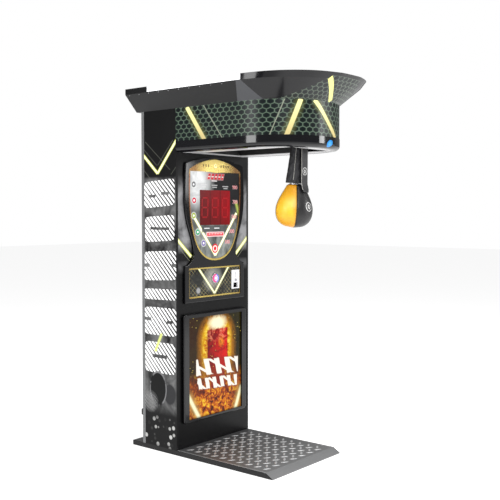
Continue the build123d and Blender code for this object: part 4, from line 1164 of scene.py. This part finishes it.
padStrap = makeStrap()
smooth(padStrap, 40)
dress(padStrap, "strapLeather", strapLeather, "arm")
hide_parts("arm_strap")
for sideSign, name in ((-1, "edgingLeft"), (1, "edgingRight")):
    points = []
    for k in range(piping["steps"] + 1):
        along = strap["edging"][0] + (strap["edging"][1] - strap["edging"][0]) * k / piping["steps"]
        side = sideSign * (strap["half"] - strap["inset"])
        points.append(armPoint(side, strapFore(along) + strap["rise"], along))
    edging = cordAlong(points, piping["pale"], name)
    dress(edging, name, pipingFinish, "arm")
points = []
for k in range(piping["steps"] + 1):
    share = 0.06 + 0.86 * k / piping["steps"]
    across, deep = sleeveSection(share)
    along = arm["sleeve"][0] + (arm["sleeve"][1] - arm["sleeve"][0]) * share
    points.append(armPoint(-across * sleeve["seam"][0], deep * sleeve["seam"][1], along))
seamCord = cordAlong(points, piping["seam"], "sleeveSeam")
dress(seamCord, "sleeveSeam", pipingFinish, "arm")
print("sleeve and strap made")

# raised bars and edge trims of the tread plate

tread = {"pitchX": 0.0862, "pitchY": 0.068, "length": 0.052, "width": 0.0150, "height": 0.0024, "turn": 34.0,
         "ramp": 0.705, "first": 0.034, "end": 0.022, "side": 0.026}


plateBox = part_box("deck_plates")
foldY = frontY - tread["ramp"]              # where the ramp starts


def makeTread():
    half = plateBox[1].x
    top = plateBox[1].z
    clearSelection()
    bpy.ops.mesh.primitive_uv_sphere_add(segments=14, ring_count=8, radius=1.0)
    pattern = bpy.context.object
    pattern.scale = (tread["length"] / 2, tread["width"] / 2, tread["height"])
    settle(pattern)
    bpy.ops.object.mode_set(mode="EDIT")
    bpy.ops.mesh.select_all(action="SELECT")
    bpy.ops.mesh.bisect(plane_co=(0, 0, 0), plane_no=(0, 0, 1), clear_inner=True, use_fill=False)
    bpy.ops.object.mode_set(mode="OBJECT")
    columns = int(2 * half / tread["pitchX"])
    rows = int((frontY - foldY) / tread["pitchY"])
    moves = []
    for grid in (0, 1):
        for i in range(columns):
            for j in range(rows):
                x = (i - (columns - 1) / 2) * tread["pitchX"] + (grid - 0.5) * tread["pitchX"] / 2
                y = frontY - tread["first"] - j * tread["pitchY"] - (grid - 0.5) * tread["pitchY"] / 2
                if not foldY + tread["end"] <= y <= frontY - tread["end"] or abs(x) > half - tread["side"]:
                    continue
                turn = radians(-tread["turn"] if grid else 180 + tread["turn"])
                moves.append(Matrix.Translation((x, y, top)) @ Matrix.Rotation(turn, 4, "Z"))
    bars = joinCopies(pattern, moves)
    smooth(bars, 50)
    return bars


treadBars = makeTread()
dress(treadBars, "treadBars", treadBarHighlightFinish, "machine")

edgeTrim = {"width": 0.007, "lift": 0.0014, "sunk": 0.0003}


def makeEdgeTrim(sideSign):
    corner = plateBox[1]
    clearSelection()
    place = (sideSign * (corner.x - edgeTrim["width"] / 2), (frontY + foldY) / 2,
             corner.z + edgeTrim["lift"] / 2 - edgeTrim["sunk"])
    size = (edgeTrim["width"], frontY - foldY, edgeTrim["lift"])
    bpy.ops.mesh.primitive_cube_add(size=1.0, location=place, scale=size)
    made = bpy.context.object
    settle(made)
    bpy.ops.object.mode_set(mode="EDIT")
    bpy.ops.mesh.select_all(action="SELECT")
    bpy.ops.mesh.bevel(offset=0.0005, segments=2)
    bpy.ops.object.mode_set(mode="OBJECT")
    return made


trimFinish = brushedMetal("trimAluminium", tone(214, 215, 217), 0.3, "y", 0.6)
for sideSign, name in ((-1, "edgeTrimLeft"), (1, "edgeTrimRight")):
    dress(makeEdgeTrim(sideSign), name, trimFinish, "machine")
print("tread made")

# rivets along the canopy's fold

rivets = {"pitch": 0.086, "radius": 0.0032, "z": 2.262, "x": 0.4405, "flat": 0.45, "back": 0.03,
          "front": 0.05}


def makeRivets():
    clearSelection()
    bpy.ops.mesh.primitive_uv_sphere_add(segments=10, ring_count=6, radius=rivets["radius"])
    pattern = bpy.context.object
    pattern.scale = (rivets["flat"], 1, 1)
    settle(pattern)
    lo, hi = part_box("side_fascias")
    count = int((hi.y - lo.y - 2 * rivets["back"]) / rivets["pitch"])
    moves = []
    for sideSign in (-1, 1):
        for k in range(count + 1):
            y = hi.y - rivets["back"] - k * rivets["pitch"]
            if y >= lo.y + rivets["front"]:
                moves.append(Matrix.Translation((sideSign * rivets["x"], y, rivets["z"])))
    made = joinCopies(pattern, moves)
    smooth(made, 60)
    return made


dress(makeRivets(), "canopyRivets", finishes["screw_steel"], "machine")

# the scale's numbers on the shield

scaleMarks = {
    "marks": [("900", 0.197, 1.692), ("700", 0.199, 1.595), ("500", 0.187, 1.497), ("300", 0.163, 1.400),
              ("100", 0.118, 1.331)],
    "plane": 0.012,            # the print's face ahead of the front panel
    "height": 0.034,
}
redInk = plasticFinish("redInk", tone(206, 28, 44), 0.4, 700.0, 0.05)
whiteInk = plasticFinish("whiteInk", tone(240, 226, 226), 0.4, 700.0, 0.05)


def makeNumbers(name, finish, swell, lift):
    made = []
    for text, x, z in scaleMarks["marks"]:
        clearSelection()
        bpy.ops.object.text_add(location=(0, 0, 0))
        label = bpy.context.object
        label.data.body = text
        label.data.size = scaleMarks["height"]
        label.data.align_x = "CENTER"
        label.data.align_y = "CENTER"
        label.data.offset = swell
        label.data.extrude = 0.0001
        label.data.resolution_u = 3
        bpy.ops.object.convert(target="MESH")
        label = bpy.context.object
        label.data.transform(Matrix.Rotation(radians(90), 4, "X"))
        label.data.transform(Matrix.Translation((x, frontY - scaleMarks["plane"] - lift, z)))
        made.append(label)
    pick(*made)
    bpy.ops.object.join()
    return dress(bpy.context.object, name, finish, "machine")


makeNumbers("scaleOutline", whiteInk, 0.0012, 0.0002)
makeNumbers("scaleNumbers", redInk, 0.0, 0.0005)
print("numbers made")

# stage, lights and camera

stage = {"floor": tone(250, 250, 250), "room": 0.26}


def makeStage():
    clearSelection()
    bpy.ops.mesh.primitive_plane_add(size=60.0, location=(0, 0, -0.0005))
    floor = bpy.context.object
    settle(floor)
    floor.name = "studioFloor"
    made = Finish("studioFloor", Roughness=0.8, Emission_Strength=0.72, Specular_IOR_Level=0.1)
    pale = made.mix(made.noise(1.5, 2.0) * 0.1, stage["floor"], tone(246, 246, 247))
    made.feed("Base Color", pale)
    made.feed("Emission Color", pale)
    floor.data.materials.append(made.material)
    world = bpy.data.worlds.new("studioRoom")
    bpy.context.scene.world = world
    world.use_nodes = True
    nodes, links = world.node_tree.nodes, world.node_tree.links
    sky = nodes["Background"]
    sky.inputs["Color"].default_value = (1, 1, 1, 1)
    sky.inputs["Strength"].default_value = stage["room"]
    seen = nodes.new("ShaderNodeBackground")
    seen.inputs["Color"].default_value = (1, 1, 1, 1)
    ray = nodes.new("ShaderNodeLightPath")
    blend = nodes.new("ShaderNodeMixShader")
    links.new(ray.outputs["Is Camera Ray"], blend.inputs[0])
    links.new(sky.outputs[0], blend.inputs[1])
    links.new(seen.outputs[0], blend.inputs[2])
    links.new(blend.outputs[0], nodes["World Output"].inputs[0])


def makeLight(name, place, target, size, power, ratio):
    data = bpy.data.lights.new(name, "AREA")
    data.shape = "RECTANGLE"
    data.size = size
    data.size_y = size * ratio
    data.energy = power
    lamp = bpy.data.objects.new(name, data)
    lamp.location = place
    lamp.rotation_euler = (Vector(target) - Vector(place)).to_track_quat("-Z", "Y").to_euler()
    bpy.context.scene.collection.objects.link(lamp)


camera = {"place": (-4.01072, -3.28068, 1.51760), "yaw": 50.53066, "pitch": -2.51182, "lens": 59.492}


def makeCamera():
    data = bpy.data.cameras.new("studioCamera")
    data.sensor_width = 36.0
    data.lens = camera["lens"]
    lens = bpy.data.objects.new("studioCamera", data)
    yaw, pitch = radians(camera["yaw"]), radians(camera["pitch"])
    look = Vector((sin(yaw) * cos(pitch), cos(yaw) * cos(pitch), sin(pitch)))
    lens.location = camera["place"]
    lens.rotation_euler = look.to_track_quat("-Z", "Y").to_euler()
    bpy.context.scene.collection.objects.link(lens)
    bpy.context.scene.camera = lens


# name, place, target, width, power, height against width
lamps = [
    ("keyLight", (-3.6, -3.6, 4.2), (0, 0, 1.3), 2.2, 190, 1.0),
    ("fillLight", (3.0, -4.0, 2.6), (0, 0, 1.2), 1.8, 100, 1.0),
    ("sideLight", (-4.5, 1.5, 2.2), (0, 0.2, 1.2), 1.4, 80, 1.6),
    ("topLight", (0.5, -1.8, 5.5), (0, -0.5, 0), 3.0, 130, 1.0),
]

makeStage()
for lamp in lamps:
    makeLight(*lamp)
makeCamera()
print("stage made")
